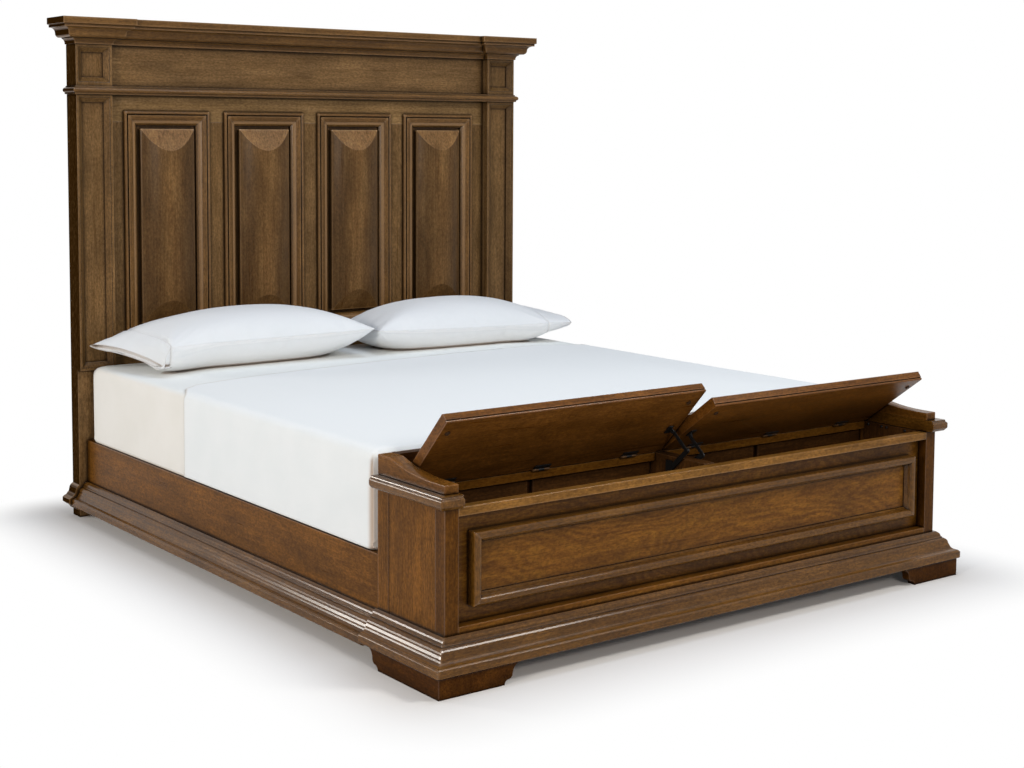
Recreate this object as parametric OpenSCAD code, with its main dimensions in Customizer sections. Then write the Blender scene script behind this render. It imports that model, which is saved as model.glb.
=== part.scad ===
/* [Bed] */
// Width of the mattress that the bed holds
mattress_w = 1930; // [1830:5:2030]
// Length of the mattress
mattress_l = 2032; // [1900:4:2130]
// Height of the mattress at its crown
mattress_t = 330; // [250:5:360]
// Spare length between the chest and the headboard
mattress_room = 53; // [30:1:80]
// Thickness of a side rail board
rail_t = 26; // [20:1:32]
// How far the rails stand in from the chest's sides
rail_inset = 8.4; // [4:0.2:12]
// Top of the side rails above the floor
rail_top = 297; // [285:1:320]
// How far the rail mouldings sit below the chest's
rail_drop = 10; // [4:1:20]

/* [Slats] */
// Number of slats
slat_count = 13; // [9:1:15]
// Width of a slat
slat_w = 70; // [50:1:90]
// Thickness of a slat
slat_t = 18; // [14:1:22]
// Top of the slats above the floor
slat_top = 268; // [255:1:280]
// Width of the ledger that carries the slat ends
ledger_w = 28; // [20:1:40]
// Height of the ledger
ledger_h = 36; // [25:1:50]
// Width of the centre beam
beam_w = 40; // [30:1:60]
// Height of the centre beam
beam_h = 75; // [50:1:90]
// Side of a centre leg
centre_leg = 45; // [35:1:60]
// Radius of a levelling glide
glide_r = 18; // [12:1:22]
// Height of a levelling glide
glide_h = 14; // [8:1:20]

/* [Chest] */
// Depth of the footboard chest
chest_d = 333; // [300:1:380]
// Top of the chest's rails above the floor
chest_h = 490; // [450:1:520]
// Width of the front posts and of the gallery arms
arm_t = 45.5; // [38:0.5:52]
// Depth of the front posts
post_d = 45; // [40:1:55]
// Depth of the rear stiles
stile_d = 56; // [45:1:65]
// Thickness of the front frame's rails
frame_t = 32; // [26:1:36]
// Height of the front top rail
top_rail_h = 24; // [20:1:34]
// Top of the front bottom rail above the floor
bottom_rail_top = 165; // [158:1:185]
// Thickness of panels and floor
panel_t = 12; // [9:0.5:16]
// Thickness of the chest's back board
back_t = 30; // [22:1:36]
// Thickness of the end panels
end_t = 20; // [14:1:24]
// Height of the hinge rail
hinge_rail_h = 26; // [20:1:36]
// Thickness of the centre divider
divider_t = 40; // [30:1:50]
// Top of the storage floor above the bed's floor
store_floor = 107; // [100:1:140]
// Height of the moulded arm cap
cap_h = 39.5; // [34:0.5:46]
// How far the arm cap stands out
cap_out = 30; // [20:1:36]
// Height of the gallery arms at the back
arm_h = 57; // [45:1:70]
// How far the arms dip towards the front
arm_drop = 32; // [20:1:36]
// Level length at the front of the arms
arm_flat = 60; // [40:1:90]
// Level length at the back of the arms
arm_back = 63; // [50:1:80]

/* [Front panel] */
// Space between the posts and the picture-frame moulding
frame_side_gap = 51; // [40:1:70]
// Bottom of the picture-frame moulding above the floor
frame_z0 = 211; // [200:1:225]
// Top of the picture-frame moulding above the floor
frame_z1 = 416; // [390:1:430]
// Width of the picture-frame moulding
frame_w = 34; // [28:1:40]
// How far its crest stands in front of the posts
frame_proud = 5; // [2:1:10]
// Thickness of the centre field inside it
field_t = 11; // [8:1:16]

/* [Base] */
// Top of the base moulding above the floor
base_top = 147; // [140:1:155]
// Top of the plinth above the floor
plinth_top = 86; // [80:1:92]
// Bottom of the plinth above the floor
plinth_bottom = 56; // [48:1:62]
// How far the plinth stands out
base_out = 66; // [58:1:74]
// How far the bracket feet stand in from the plinth's face
foot_set = 8; // [4:1:12]
// Thickness of the bracket feet
foot_t = 30; // [24:1:38]
// Length of a bracket foot on the front
foot_front_l = 215; // [180:1:260]
// Length of a bracket foot on the side
foot_side_l = 300; // [260:1:330]
// Side of the square blocks under the chest's back
rear_block = 50; // [40:1:56]

/* [Lids] */
// Distance from the chest's back to the hinge axis
hinge_back = 71; // [66:1:80]
// Thickness of a lid
lid_t = 31; // [24:0.5:34]
// How far a lid stands in front of the posts
lid_over = 36; // [26:1:40]
// Gap at the ends of a lid
lid_gap = 2; // [1:0.5:4]
// Opening angle of the left lid at rest
lid_angle_left = 46.9; // [10:0.1:74]
// Opening angle of the right lid at rest
lid_angle_right = 35.8; // [10:0.1:74]
// Height of the rubber bumpers
bumper_h = 3; // [2:0.5:5]
// Radius of the rubber bumpers
bumper_r = 7; // [5:0.5:9]
// Length of a hinge
hinge_l = 60; // [50:1:80]
// Room at both ends of a hinge in the lid's notch
hinge_room = 2.5; // [2:0.5:5]
// Radius of a hinge knuckle
knuckle_r = 4.5; // [4:0.1:5]
// Radius of a hinge pin
pin_r = 2; // [1.5:0.1:2.5]
// Reach of a hinge leaf
leaf_w = 20; // [16:1:34]
// Thickness of a hinge leaf
leaf_t = 2; // [1.5:0.1:2]

/* [Lid stays] */
// Distance from the hinge axis to the stay's pin on the lid
stay_reach = 116; // [100:1:125]
// Depth of that pin below the hinge axis when the lid is shut
stay_depth = 10; // [8:0.5:14]
// How far the stay's pivot lies in front of the hinge axis
stay_fwd = 60; // [50:1:70]
// How far the stay's pivot lies below the hinge axis
stay_low = 50; // [40:1:60]
// Thickness of the stay's bars and plates
bar_t = 3; // [2:0.5:4]
// Width of the lower stay bar
arm_bar_w = 16; // [12:1:20]
// Width of the upper stay bar
link_bar_w = 12; // [10:1:14]
// Radius of the stay's pins
stay_pin_r = 3; // [2:0.1:3.5]

/* [Headboard] */
// How far the headboard stands out past the chest on each side
head_step = 26.3; // [18:0.1:36]
// Height of the headboard's posts under the crown
head_post_h = 1809.5; // [1600:0.5:1900]
// Width of a headboard post
post_w = 144.7; // [120:0.1:170]
// Thickness of a headboard leg
leg_t = 66; // [55:1:80]
// Thickness of the pilaster on the leg
pilaster_t = 28; // [24:1:34]
// Lower end of the pilaster above the floor
pilaster_z0 = 570; // [500:1:620]
// Depth of the sunk panels in the pilaster
sink_d = 24; // [14:1:26]
// Depth and width of the quirk round a sunk panel
sink_quirk = 2; // [1:0.5:3]
// Depth of the last step down to a sunk panel
sink_step = 5; // [2:0.5:7]
// Plain border around the sunk panels
sink_border = 10; // [6:1:16]
// Plain border under the upper sunk panel
sink_foot = 14; // [10:1:20]
// Depth of the panelled field behind the post's face
field_set = 43; // [36:1:50]
// Thickness of the headboard's frame
head_frame_t = 25; // [20:1:28]
// Height of the frieze above the bead
frieze_h = 156.5; // [130:0.5:190]
// Height of the bead moulding
bead_h = 32; // [24:1:40]
// How far the bead stands out
bead_out = 15.5; // [10:0.5:20]
// Height of the crown
crown_h = 97; // [80:1:115]
// How far the crown stands out
crown_out = 73; // [60:1:85]
// How far the crown's middle part is set back
crown_set = 24; // [16:1:34]
// How far the moulding at the foot of a leg stands out
leg_base_out = 42; // [34:1:48]
// Height of that moulding
leg_base_h = 100; // [85:1:110]

/* [Panels] */
// Outer width of a panel moulding
panel_mould_w = 363; // [340:1:370]
// Distance of the inner panels from the middle
panel_in_x = 214.5; // [212:0.5:218]
// Distance of the outer panels from the middle
panel_out_x = 640.8; // [636:0.1:645]
// Lower end of the panel mouldings
panel_z0 = 664; // [640:1:690]
// Space between the panel mouldings and the bead
panel_gap = 60; // [50:1:110]
// Width of a panel moulding's section
mould_w = 55; // [48:1:60]
// How much of that width lies on the frame
mould_lap = 42; // [34:1:45]
// How far the moulding's crest stands proud
mould_proud = 13; // [8:1:18]
// Depth of the sunk margin round a raised panel
margin_d = 14; // [10:1:18]
// Free space between the moulding and the raised part
margin_w = 13.5; // [8:0.5:20]
// How far the raised part's edge stands above the margin
raise_edge = 20; // [12:1:24]
// How far the raised part's crown stands above its edge
raise_crown = 33; // [20:1:38]
// Length of the sloping ends of the raised part
raise_slope = 86; // [60:1:110]

/* [Bedding] */
// Gap between the mattress and the headboard's posts
mattress_back = 6; // [4:1:40]
// How far the mattress swells out over the rails
mattress_swell = 19; // [0:1:22]
// How far the mattress's middle stands above its edges
mattress_crown = 10; // [4:1:20]
// Corner radius of the mattress, seen from above
corner_r = 40; // [30:1:90]
// Radius of the mattress's upper and lower edges
edge_r = 26; // [16:1:34]
// Length of the left pillow
pillow_l = 1070; // [900:5:1090]
// How far to the right of the bed's middle the pillows meet
pillow_meet = 48; // [20:1:60]
// Depth of the left pillow
pillow_d = 470; // [420:5:500]
// Thickness of the left pillow
pillow_h = 190; // [150:5:210]
// Size of the right pillow as a share of the left one
pillow_ratio = 0.9; // [0.8:0.01:1]
// How far a pillow's sides are drawn in
pillow_pinch = 0.07; // [0.03:0.01:0.12]
// Thickness of the sheet
sheet_t = 2; // [1:0.5:3]
// Distance from the mattress's foot to the sheet's hem, in the middle
sheet_l = 1370; // [1100:5:1450]
// How far the hem runs forward at the left and back at the right
sheet_skew = 110; // [0:5:150]

/* [Hidden] */

// Colours of the finishes
wood = "#6b4a2b";
dark_wood = "#4f3520";
inner_wood = "#7a5836";
slat_wood = "#c9a877";
black_metal = "#1d1c1c";
linen = "#eef0f4";

// Clearances
soft_gap = 0.4;
fit_gap = 0.3;
pin_gap = 0.05;
rail_gap = 1;
mitre_gap = 0.3;
cut_reach = 200;
knuckle_gap = 0.3;

// Half widths of the rails, the chest and the headboard
rail_in = mattress_w / 2 + rail_gap;
rail_out = rail_in + rail_t;
chest_half = rail_out + rail_inset;
head_half = chest_half + head_step;
inner_half = chest_half - arm_t;
post_in = head_half - post_w;

// Places along the bed, with the origin under the middle of the whole
head_d = pilaster_t + leg_t;
overall_d = base_out + chest_d + mattress_l + mattress_room + head_d;
front_y = -overall_d / 2 + base_out;
back_y = front_y + chest_d;
post_y = back_y + mattress_l + mattress_room;
leg_y = post_y + pilaster_t;
field_y = post_y + field_set;
rear_y = post_y + head_d;
floor_y = back_y - back_t;

// The hinge axis of the lids and the stay's points, measured from it
hinge_y = back_y - hinge_back;
lid_low = chest_h + bumper_h + fit_gap;
hinge_z = lid_low - 1.3;
lid_front = front_y - lid_over;
leaf_back = knuckle_r + 0.5;
hinge_rail_y = hinge_y + leaf_back;
lid_x0 = lid_gap;
lid_x1 = inner_half - lid_gap;
hinge_at = [for (f = [0.14, 0.5, 0.86]) lid_x0 + f * (lid_x1 - lid_x0)];
stay_y = hinge_y - stay_fwd;
stay_z = hinge_z - stay_low;
stay_len = sqrt(stay_reach * stay_reach + stay_depth * stay_depth);
stay_dip = atan2(stay_depth, stay_reach);
link_len = sqrt(stay_fwd * stay_fwd + stay_low * stay_low);
link_dir = atan2(stay_low, stay_fwd);
pivot_pin_r = stay_pin_r + 1;
bar_gap = 0.5;
arm_x = divider_t / 2 + bar_t + bar_gap;
link_x = arm_x + bar_t + bar_gap;
lug_x = link_x + bar_t + bar_gap;

// Levels of the headboard
bead_z = head_post_h - frieze_h - bead_h;
crown_z = head_post_h;
panel_z1 = bead_z - panel_gap;
panel_tall = panel_z1 - panel_z0;
panel_mid = (panel_z1 + panel_z0) / 2;
open_w = panel_mould_w - 2 * mould_lap;
open_z0 = panel_z0 + mould_lap;
open_z1 = panel_z1 - mould_lap;
panel_xs = [-panel_out_x, -panel_in_x, panel_in_x, panel_out_x];
margin_y = field_y + margin_d;
panel_board = 8;
back_panel_t = 6;
frame_low = open_z0 - 150;
cross_top = rail_top - 10;
cross_h = 147;

// Levels of the bedding
slat_bottom = slat_top - slat_t;
mattress_z = slat_top + soft_gap;
mattress_y = post_y - mattress_back - mattress_l;
foot_out = base_out - foot_set;

// Points of an arc about (cx, cz)
function arc(cx, cz, r, a0, a1, n) =
  [for (i = [0 : n]) [cx + r * cos(a0 + (a1 - a0) * i / n), cz + r * sin(a0 + (a1 - a0) * i / n)]];
function flip(list) = [for (i = [len(list) - 1 : -1 : 0]) list[i]];

// Mouldings as [how far out, height], from bottom to top
torus_r = (base_top - plinth_top) * 0.29;
base_profile = concat(
  [[0, plinth_top], [base_out - 7, plinth_top]],
  arc(base_out - 7, plinth_top + 20, 19, -100, -170, 5),
  arc(base_out - 29 - torus_r, base_top - 20 - torus_r, torus_r, 0, 78, 5),
  [[base_out - 43, base_top - 18]],
  arc(base_out - 61, base_top - 15, 14, 0, 60, 3),
  [[base_out - 58, base_top], [0, base_top]]);
plinth_profile = [[0, plinth_bottom], [foot_out, plinth_bottom], [base_out, plinth_bottom + 4],
  [base_out, plinth_top - 5], [base_out - 5, plinth_top], [0, plinth_top]];
cap_profile = [[0, 0], [cap_out - 8, 3], [cap_out, cap_h * 0.32], [cap_out, cap_h * 0.76],
  [cap_out - 6, cap_h - 5], [cap_out - 6, cap_h], [0, cap_h]];
crown_s = crown_out / 73;
crown_v = crown_h / 97;
crown_profile = [for (q = concat([[0, 0], [5, 1]], arc(22, 5, 17, 180, 110, 5), [[16, 24], [31, 24.5]],
  arc(26, 40, 16, -62, 0, 4), arc(62, 41, 20, 180, 105, 5),
  [[66, 61], [66, 70], [73, 73], [73, 97], [0, 97]]))
  [q[0] * crown_s, q[1] * crown_v]];
bead_profile = concat([[0, 0], [bead_out * 0.5, 1.5], [bead_out * 0.5, bead_h * 0.2]],
  arc(bead_out - bead_h * 0.3, bead_h * 0.52, bead_h * 0.3, -75, 75, 8), [[bead_out * 0.25, bead_h * 0.85],
  [bead_out * 0.25, bead_h], [0, bead_h]]);
leg_base_z = plinth_bottom - 29;
leg_base_profile = [for (q = concat([[0, 0], [11, 5], [17, 14], [31, 23], [42, 32], [42, 48], [35, 53],
  [27, 57]], arc(27, 74, 11, -120, -185, 3), [[15, 79], [13, 87], [9, 93], [0, 100]]))
  [q[0] * leg_base_out / 42, leg_base_z + q[1] * leg_base_h / 100]];

// Section of the picture-frame moulding as [distance in from the outside, depth behind the posts]
frame_profile = concat([[0, frame_t], [0, 8]], arc(10, 5, 10, 180, 270, 5), [[frame_w * 0.42, -frame_proud]],
  arc(frame_w * 0.42, 6, 6 + frame_proud, -90, -20, 5), [[frame_w * 0.8, 10], [frame_w * 0.86, 13],
  [frame_w, frame_t - field_t - 2], [frame_w, frame_t]]);
// Section of the headboard's panel mouldings
mould_profile = concat([[0, 0], [0, -mould_proud * 0.5]],
  arc(mould_proud * 0.5, -mould_proud * 0.5, mould_proud * 0.5, 180, 350, 7),
  [[mould_proud * 1.1, -mould_proud * 0.4], [mould_proud * 1.25, -mould_proud * 0.8]],
  arc(mould_lap * 0.45, mould_lap * 0.42, mould_lap * 0.42 + mould_proud * 0.85, -96, -50, 6),
  [[mould_lap + 1, -3], [mould_lap + 5, -2.5], [mould_w, margin_d * 0.4], [mould_w, margin_d],
  [mould_lap + 1, margin_d], [mould_lap + 1, 0]]);

// A block from its lowest to its highest corner
module block(a, b) {
  translate(a) cube(b - a);
}

// The same shape on both sides of the bed
module both() {
  children();
  mirror([1, 0, 0]) children();
}

// A section in Y and Z, run along X
module along_x(x0, x1, pts) {
  translate([x0, 0, 0]) rotate([90, 0, 90]) linear_extrude(x1 - x0) polygon(pts);
}

// A section in X and Z, run along Y
module along_y(y0, y1, pts) {
  translate([0, y1, 0]) rotate([90, 0, 0]) linear_extrude(y1 - y0) polygon(pts);
}

// A moulding that runs round the front and the sides of a block, mitred at the corners
module wrap(profile, x0, x1, y0, y1, z, left = 1, right = 1) {
  ends = [[y1, z + profile[len(profile) - 1][1]], [y1, z + profile[0][1]]];
  intersection() {
    along_x(x0 - cut_reach, x1 + cut_reach, concat([for (q = profile) [y0 - q[0], z + q[1]]], ends));
    along_y(y0 - cut_reach, y1, concat([for (q = profile) [x0 - left * q[0], z + q[1]]],
      [for (q = flip(profile)) [x1 + right * q[0], z + q[1]]]));
  }
}

// One strip of a mitred frame, along the top edge
module strip(w, h, width, section, y) {
  g = mitre_gap / 2;
  over = width + 5;
  intersection() {
    along_x(-w / 2, w / 2, [for (q = section) [y + q[1], h / 2 - q[0]]]);
    along_y(y - cut_reach, y + cut_reach, [[-w / 2 + g - 5, h / 2 + 5], [w / 2 - g + 5, h / 2 + 5],
      [w / 2 - g - over, h / 2 - over], [-w / 2 + g + over, h / 2 - over]]);
  }
}

// A frame of four mitred strips about a point, in the plane of X and Z
module mitred_frame(x, z, w, h, width, section, y) {
  translate([x, 0, z]) {
    strip(w, h, width, section, y);
    rotate([0, 180, 0]) strip(w, h, width, section, y);
    rotate([0, 90, 0]) strip(h, w, width, section, y);
    rotate([0, 270, 0]) strip(h, w, width, section, y);
  }
}

// A pocket with sloping sides, cut into a face that looks towards the foot
module sunk(x0, x1, z0, z1, y, d) {
  intersection() {
    along_x(x0 - 1, x1 + 1, [[y - 1, z0 - 1], [y - 1, z1 + 1], [y + d, z1 - d], [y + d, z0 + d]]);
    translate([0, 0, z0 - 2]) linear_extrude(z1 - z0 + 4)
      polygon([[x0 - 1, y - 1], [x1 + 1, y - 1], [x1 - d, y + d], [x0 + d, y + d]]);
  }
}

// A sunk panel in a pilaster: a quirk, a slope and a step down
module sunk_panel(x0, x1, z0, z1) {
  slope = sink_d - sink_step;
  block([x0, post_y - 1, z0], [x1, post_y + sink_quirk, z1]);
  sunk(x0, x1, z0, z1, post_y, slope);
  block([x0 + slope, post_y, z0 + slope], [x1 - slope, post_y + sink_d, z1 - slope]);
}

// Turns a lid and what rides on it about the hinge axis
module opened(angle) {
  translate([0, hinge_y, hinge_z]) rotate([-angle, 0, 0]) translate([0, -hinge_y, -hinge_z]) children();
}

// Legs of the headboard, from the floor to the crown
module head_legs() {
  color(dark_wood) both() block([post_in, leg_y, 0], [head_half, rear_y, head_post_h]);
}

// Pilasters with sunk panels, planted on the legs
module pilasters() {
  x0 = post_in + sink_border;
  x1 = head_half - sink_border;
  color(wood) both() difference() {
    block([post_in, post_y, pilaster_z0], [head_half, leg_y, head_post_h]);
    sunk_panel(x0, x1, pilaster_z0 + sink_border, bead_z - sink_border);
    sunk_panel(x0, x1, bead_z + bead_h + sink_foot, head_post_h - sink_border);
  }
}

// Bead that runs across the posts and the field
module bead_rail() {
  color(wood) difference() {
    wrap(bead_profile, -head_half, head_half, post_y, rear_y, bead_z);
    both() block([post_in, post_y, 0], [head_half, rear_y + 1, head_post_h]);
    block([-post_in - 1, field_y, 0], [post_in + 1, rear_y + 1, head_post_h]);
  }
}

module frieze_board() {
  color(wood) block([-post_in, field_y, bead_z + bead_h / 2], [post_in, field_y + head_frame_t, head_post_h]);
}

// Crown over one post, with a return on both sides
module crown_end() {
  wrap(crown_profile, post_in, head_half, post_y, rear_y, crown_z);
}

module crown_ends() {
  color(wood) both() crown_end();
}

// Set-back middle part of the crown
module crown_centre() {
  color(wood) difference() {
    along_x(-post_in, post_in, concat([for (q = crown_profile) [post_y + crown_set - q[0], crown_z + q[1]]],
      [[rear_y, crown_z + crown_h], [rear_y, crown_z]]));
    both() crown_end();
  }
}

module head_top_rail() {
  color(wood) block([-post_in, field_y, open_z1], [post_in, field_y + head_frame_t, bead_z + bead_h / 2]);
}

module head_bottom_rail() {
  color(wood) block([-post_in, field_y, frame_low], [post_in, field_y + head_frame_t, open_z0]);
}

// Upright members of the headboard's frame
module head_stiles() {
  edges = concat([-post_in], [for (x = panel_xs) each [x - open_w / 2, x + open_w / 2]], [post_in]);
  color(wood) for (i = [0 : 4])
    block([edges[2 * i], field_y, open_z0], [edges[2 * i + 1], field_y + head_frame_t, open_z1]);
}

module panel_mouldings() {
  color(wood) for (x = panel_xs)
    mitred_frame(x, panel_mid, panel_mould_w, panel_tall, mould_w, mould_profile, field_y);
}

// A panel with a barrel-shaped raised part, cut to a slope at both ends
module raised_panel() {
  half = panel_mould_w / 2 - mould_w - margin_w;
  z0 = panel_z0 + mould_w + margin_w;
  z1 = panel_z1 - mould_w - margin_w;
  edge_y = margin_y - raise_edge;
  crown_y = edge_y - raise_crown;
  barrel_r = (half * half + raise_crown * raise_crown) / (2 * raise_crown);
  block([-open_w / 2 + fit_gap, margin_y, open_z0 + fit_gap],
    [open_w / 2 - fit_gap, margin_y + panel_board, open_z1 - fit_gap]);
  intersection() {
    block([-half, crown_y - 1, z0], [half, margin_y + 1, z1]);
    translate([0, crown_y + barrel_r, z0]) cylinder(r = barrel_r, h = z1 - z0, $fn = 180);
    along_x(-half, half, [[margin_y + 1, z0], [edge_y, z0], [crown_y - 0.1, z0 + raise_slope],
      [crown_y - 0.1, z1 - raise_slope], [edge_y, z1], [margin_y + 1, z1]]);
  }
}

module raised_panels() {
  color(wood) for (x = panel_xs) translate([x, 0, 0]) raised_panel();
}

module head_back_panel() {
  color(dark_wood) block([-post_in, rear_y - back_panel_t, frame_low], [post_in, rear_y, head_post_h]);
}

// Cross rail behind the mattress that ties the legs and carries the beam
module head_cross_rail() {
  color(dark_wood) block([-post_in, field_y, cross_top - cross_h],
    [post_in, field_y + head_frame_t, cross_top]);
}

// Moulding on the outer side of each leg, at rail height
module head_base_mouldings() {
  color(wood) both() along_y(leg_y, rear_y, [for (q = leg_base_profile) [head_half + q[0], q[1]]]);
}

module side_rail() {
  block([rail_in, back_y, plinth_bottom - rail_drop], [rail_out, leg_y, rail_top]);
}

module side_rail_left() {
  color(wood) mirror([1, 0, 0]) side_rail();
}

module side_rail_right() {
  color(wood) side_rail();
}

// Base moulding and plinth along a side rail
module rail_moulding() {
  whole = concat([for (i = [0 : 4]) plinth_profile[i]],
    [for (i = [1 : len(base_profile) - 1]) base_profile[i]]);
  along_y(back_y, leg_y, [for (q = whole) [rail_out + q[0], q[1] - rail_drop]]);
}

module rail_moulding_left() {
  color(wood) mirror([1, 0, 0]) rail_moulding();
}

module rail_moulding_right() {
  color(wood) rail_moulding();
}

module slat_ledgers() {
  color(slat_wood) both() block([rail_in - ledger_w, back_y + 20, slat_bottom - ledger_h],
    [rail_in, leg_y - 20, slat_bottom]);
}

module slats() {
  first = back_y + 60;
  last = field_y - 40 - slat_w;
  color(slat_wood) for (i = [0 : slat_count - 1])
    translate([0, first + i * (last - first) / (slat_count - 1), 0])
      block([-rail_in + rail_gap, 0, slat_bottom], [rail_in - rail_gap, slat_w, slat_top]);
}

module centre_beam() {
  color(slat_wood) block([-beam_w / 2, back_y, slat_bottom - beam_h], [beam_w / 2, field_y, slat_bottom]);
}

beam_bottom = slat_bottom - beam_h;
leg_ys = [for (f = [0.2, 0.5, 0.8]) back_y + f * (field_y - back_y)];

module centre_legs() {
  color(slat_wood) for (y = leg_ys)
    block([-centre_leg / 2, y - centre_leg / 2, glide_h], [centre_leg / 2, y + centre_leg / 2, beam_bottom]);
}

module leg_glides() {
  color(black_metal) for (y = leg_ys) translate([0, y, 0]) cylinder(r = glide_r, h = glide_h, $fn = 48);
}

bracket_w = 34;
bracket_h = 70;
bracket_t = 4;
bracket_z0 = plinth_bottom + 19;
bracket_z1 = bracket_z0 + bracket_h;

// Steel angle in the inner corner between a rail and the face at y, towards the given side
module bracket(y, side) {
  far = y + side * bracket_w;
  thick = y + side * bracket_t;
  block([rail_in - bracket_w, min(y, thick), bracket_z0], [rail_in, max(y, thick), bracket_z1]);
  block([rail_in - bracket_t, min(y, far), bracket_z0], [rail_in, max(y, far), bracket_z1]);
}

module rail_brackets() {
  color(black_metal) both() {
    bracket(back_y, 1);
    bracket(leg_y, -1);
  }
}

bolt_head_r = 7;
bolt_head_h = 4;
bolt_drop = 9;
arm_bolt_at = [0.276, 0.514, 0.58, 0.757];

// Heads of the bolts that hold the rails and the arm caps
module bolts() {
  bolt_x = rail_in - (bracket_w + bracket_t) / 2;
  color(black_metal) both() {
    for (z = [bracket_z0 + 20, bracket_z1 - 20]) {
      translate([bolt_x, back_y + bracket_t, z]) rotate([-90, 0, 0])
        cylinder(r = bolt_head_r, h = bolt_head_h, $fn = 32);
      translate([bolt_x, leg_y - bracket_t, z]) rotate([90, 0, 0])
        cylinder(r = bolt_head_r, h = bolt_head_h, $fn = 32);
    }
    for (f = arm_bolt_at)
      translate([inner_half, front_y + f * chest_d, chest_h - bolt_drop]) rotate([0, -90, 0])
        cylinder(r1 = 5, r2 = 3.5, h = 3, $fn = 32);
  }
}

// Front posts of the chest
module corner_posts() {
  color(wood) both() block([inner_half, front_y, plinth_bottom], [chest_half, front_y + post_d, chest_h]);
}

module rear_stiles() {
  color(wood) both() block([inner_half, back_y - stile_d, plinth_bottom], [chest_half, back_y, chest_h]);
}

// End panels, a little behind the faces of the posts
module end_panels() {
  reveal = 1.5;
  color(wood) both() block([chest_half - reveal - end_t, front_y + post_d, plinth_bottom],
    [chest_half - reveal, back_y - stile_d, chest_h]);
}

// Top rail with an eased front edge
module front_top_rail() {
  z0 = chest_h - top_rail_h;
  color(wood) along_x(-inner_half, inner_half, concat([[front_y, z0], [front_y, chest_h - 3]],
    flip(arc(front_y + 3, chest_h - 3, 3, 90, 180, 4)),
    [[front_y + frame_t, chest_h], [front_y + frame_t, z0]]));
}

module front_bottom_rail() {
  color(wood) block([-inner_half, front_y, plinth_bottom], [inner_half, front_y + frame_t, bottom_rail_top]);
}

// Panel behind the frame, with the centre field on it
module front_panel() {
  fx = inner_half - frame_side_gap - frame_w;
  back = front_y + frame_t;
  color(wood) {
    block([-inner_half, back, bottom_rail_top - 20], [inner_half, back + panel_t, chest_h - 10]);
    block([-fx + fit_gap, back - field_t, frame_z0 + frame_w + fit_gap],
      [fx - fit_gap, back + 1, frame_z1 - frame_w - fit_gap]);
  }
}

module front_moulding() {
  color(wood) mitred_frame(0, (frame_z0 + frame_z1) / 2, 2 * (inner_half - frame_side_gap),
    frame_z1 - frame_z0, frame_w, frame_profile, front_y);
}

module chest_back() {
  color(wood) block([-inner_half, floor_y, plinth_bottom], [inner_half, back_y, chest_h + cap_h + arm_h]);
}

// Rail inside the chest's back that carries the hinges
module hinge_rail() {
  color(wood) block([-inner_half, hinge_rail_y, chest_h - hinge_rail_h], [inner_half, floor_y, chest_h]);
}

module chest_floor() {
  color(inner_wood) block([-inner_half, front_y + frame_t, store_floor - panel_t],
    [inner_half, floor_y, store_floor]);
}

// Divider between the two compartments, notched round the hinge rail
module chest_divider() {
  notch_z = chest_h - hinge_rail_h - fit_gap;
  color(inner_wood) difference() {
    block([-divider_t / 2, front_y + frame_t + panel_t, store_floor], [divider_t / 2, floor_y, chest_h]);
    block([-divider_t, hinge_rail_y - fit_gap, notch_z], [divider_t, floor_y + 1, chest_h + 1]);
  }
}

// Liner boards at the ends and along the back, with an open joint in each back
module chest_liners() {
  gap = 10;
  joint_left = -inner_half * 0.518;
  joint_right = inner_half * 0.466;
  side = divider_t / 2 + fit_gap;
  color(inner_wood) {
    both() block([inner_half, front_y + post_d, store_floor - panel_t],
      [inner_half + panel_t, back_y - stile_d, chest_h]);
    for (span = [[-inner_half, joint_left - gap], [joint_left + gap, -side],
      [side, joint_right - gap], [joint_right + gap, inner_half]])
      block([span[0], floor_y - panel_t, store_floor], [span[1], floor_y, chest_h - hinge_rail_h]);
  }
}

// A moulding round the front and the ends of the chest
module base_round(profile) {
  difference() {
    wrap(profile, -chest_half, chest_half, front_y, back_y, 0);
    block([-chest_half, front_y, 0], [chest_half, back_y + 1, chest_h]);
  }
}

// The same in three mitred lengths, planted on the chest
module base_run(profile) {
  reach = 100;
  far = chest_half + reach;
  g = mitre_gap;
  intersection() {
    base_round(profile);
    linear_extrude(chest_h) polygon([[-far, front_y - reach - g], [-chest_half, front_y - g],
      [chest_half, front_y - g], [far, front_y - reach - g]]);
    }
  both() intersection() {
    base_round(profile);
    linear_extrude(chest_h) polygon([[chest_half, front_y], [far, front_y - reach],
      [far, back_y + 1], [chest_half, back_y + 1]]);
  }
}

module base_mouldings() {
  color(wood) base_run(base_profile);
}

module chest_plinth() {
  color(wood) base_run(plinth_profile);
}

// Outline of a bracket foot from its corner, with scooped and rounded steps
function foot_outline(l) = concat([[0, 0], [l, 0]],
  flip(arc(l + 14, 0, 14, 90, 180, 4)), arc(l + 14, 28, 14, -90, 0, 4),
  flip(arc(l + 28 + (plinth_bottom - 28), 28, plinth_bottom - 28, 90, 180, 5)), [[0, plinth_bottom]]);

// Bracket feet, each of a front and a side board
module bracket_feet() {
  x = chest_half + foot_out;
  y = front_y - foot_out;
  color(wood) both() union() {
    translate([x, y + foot_t, 0]) rotate([90, 0, 0]) mirror([1, 0, 0]) linear_extrude(foot_t)
      polygon(foot_outline(foot_front_l));
    translate([x - foot_t, y, 0]) rotate([90, 0, 90]) linear_extrude(foot_t)
      polygon(foot_outline(foot_side_l));
  }
}

// Blocks under the back board of the chest, a little in from its ends
module rear_blocks() {
  x = inner_half - 20;
  color(dark_wood) both() block([x - rear_block, floor_y, 0], [x, back_y, plinth_bottom]);
}

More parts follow.
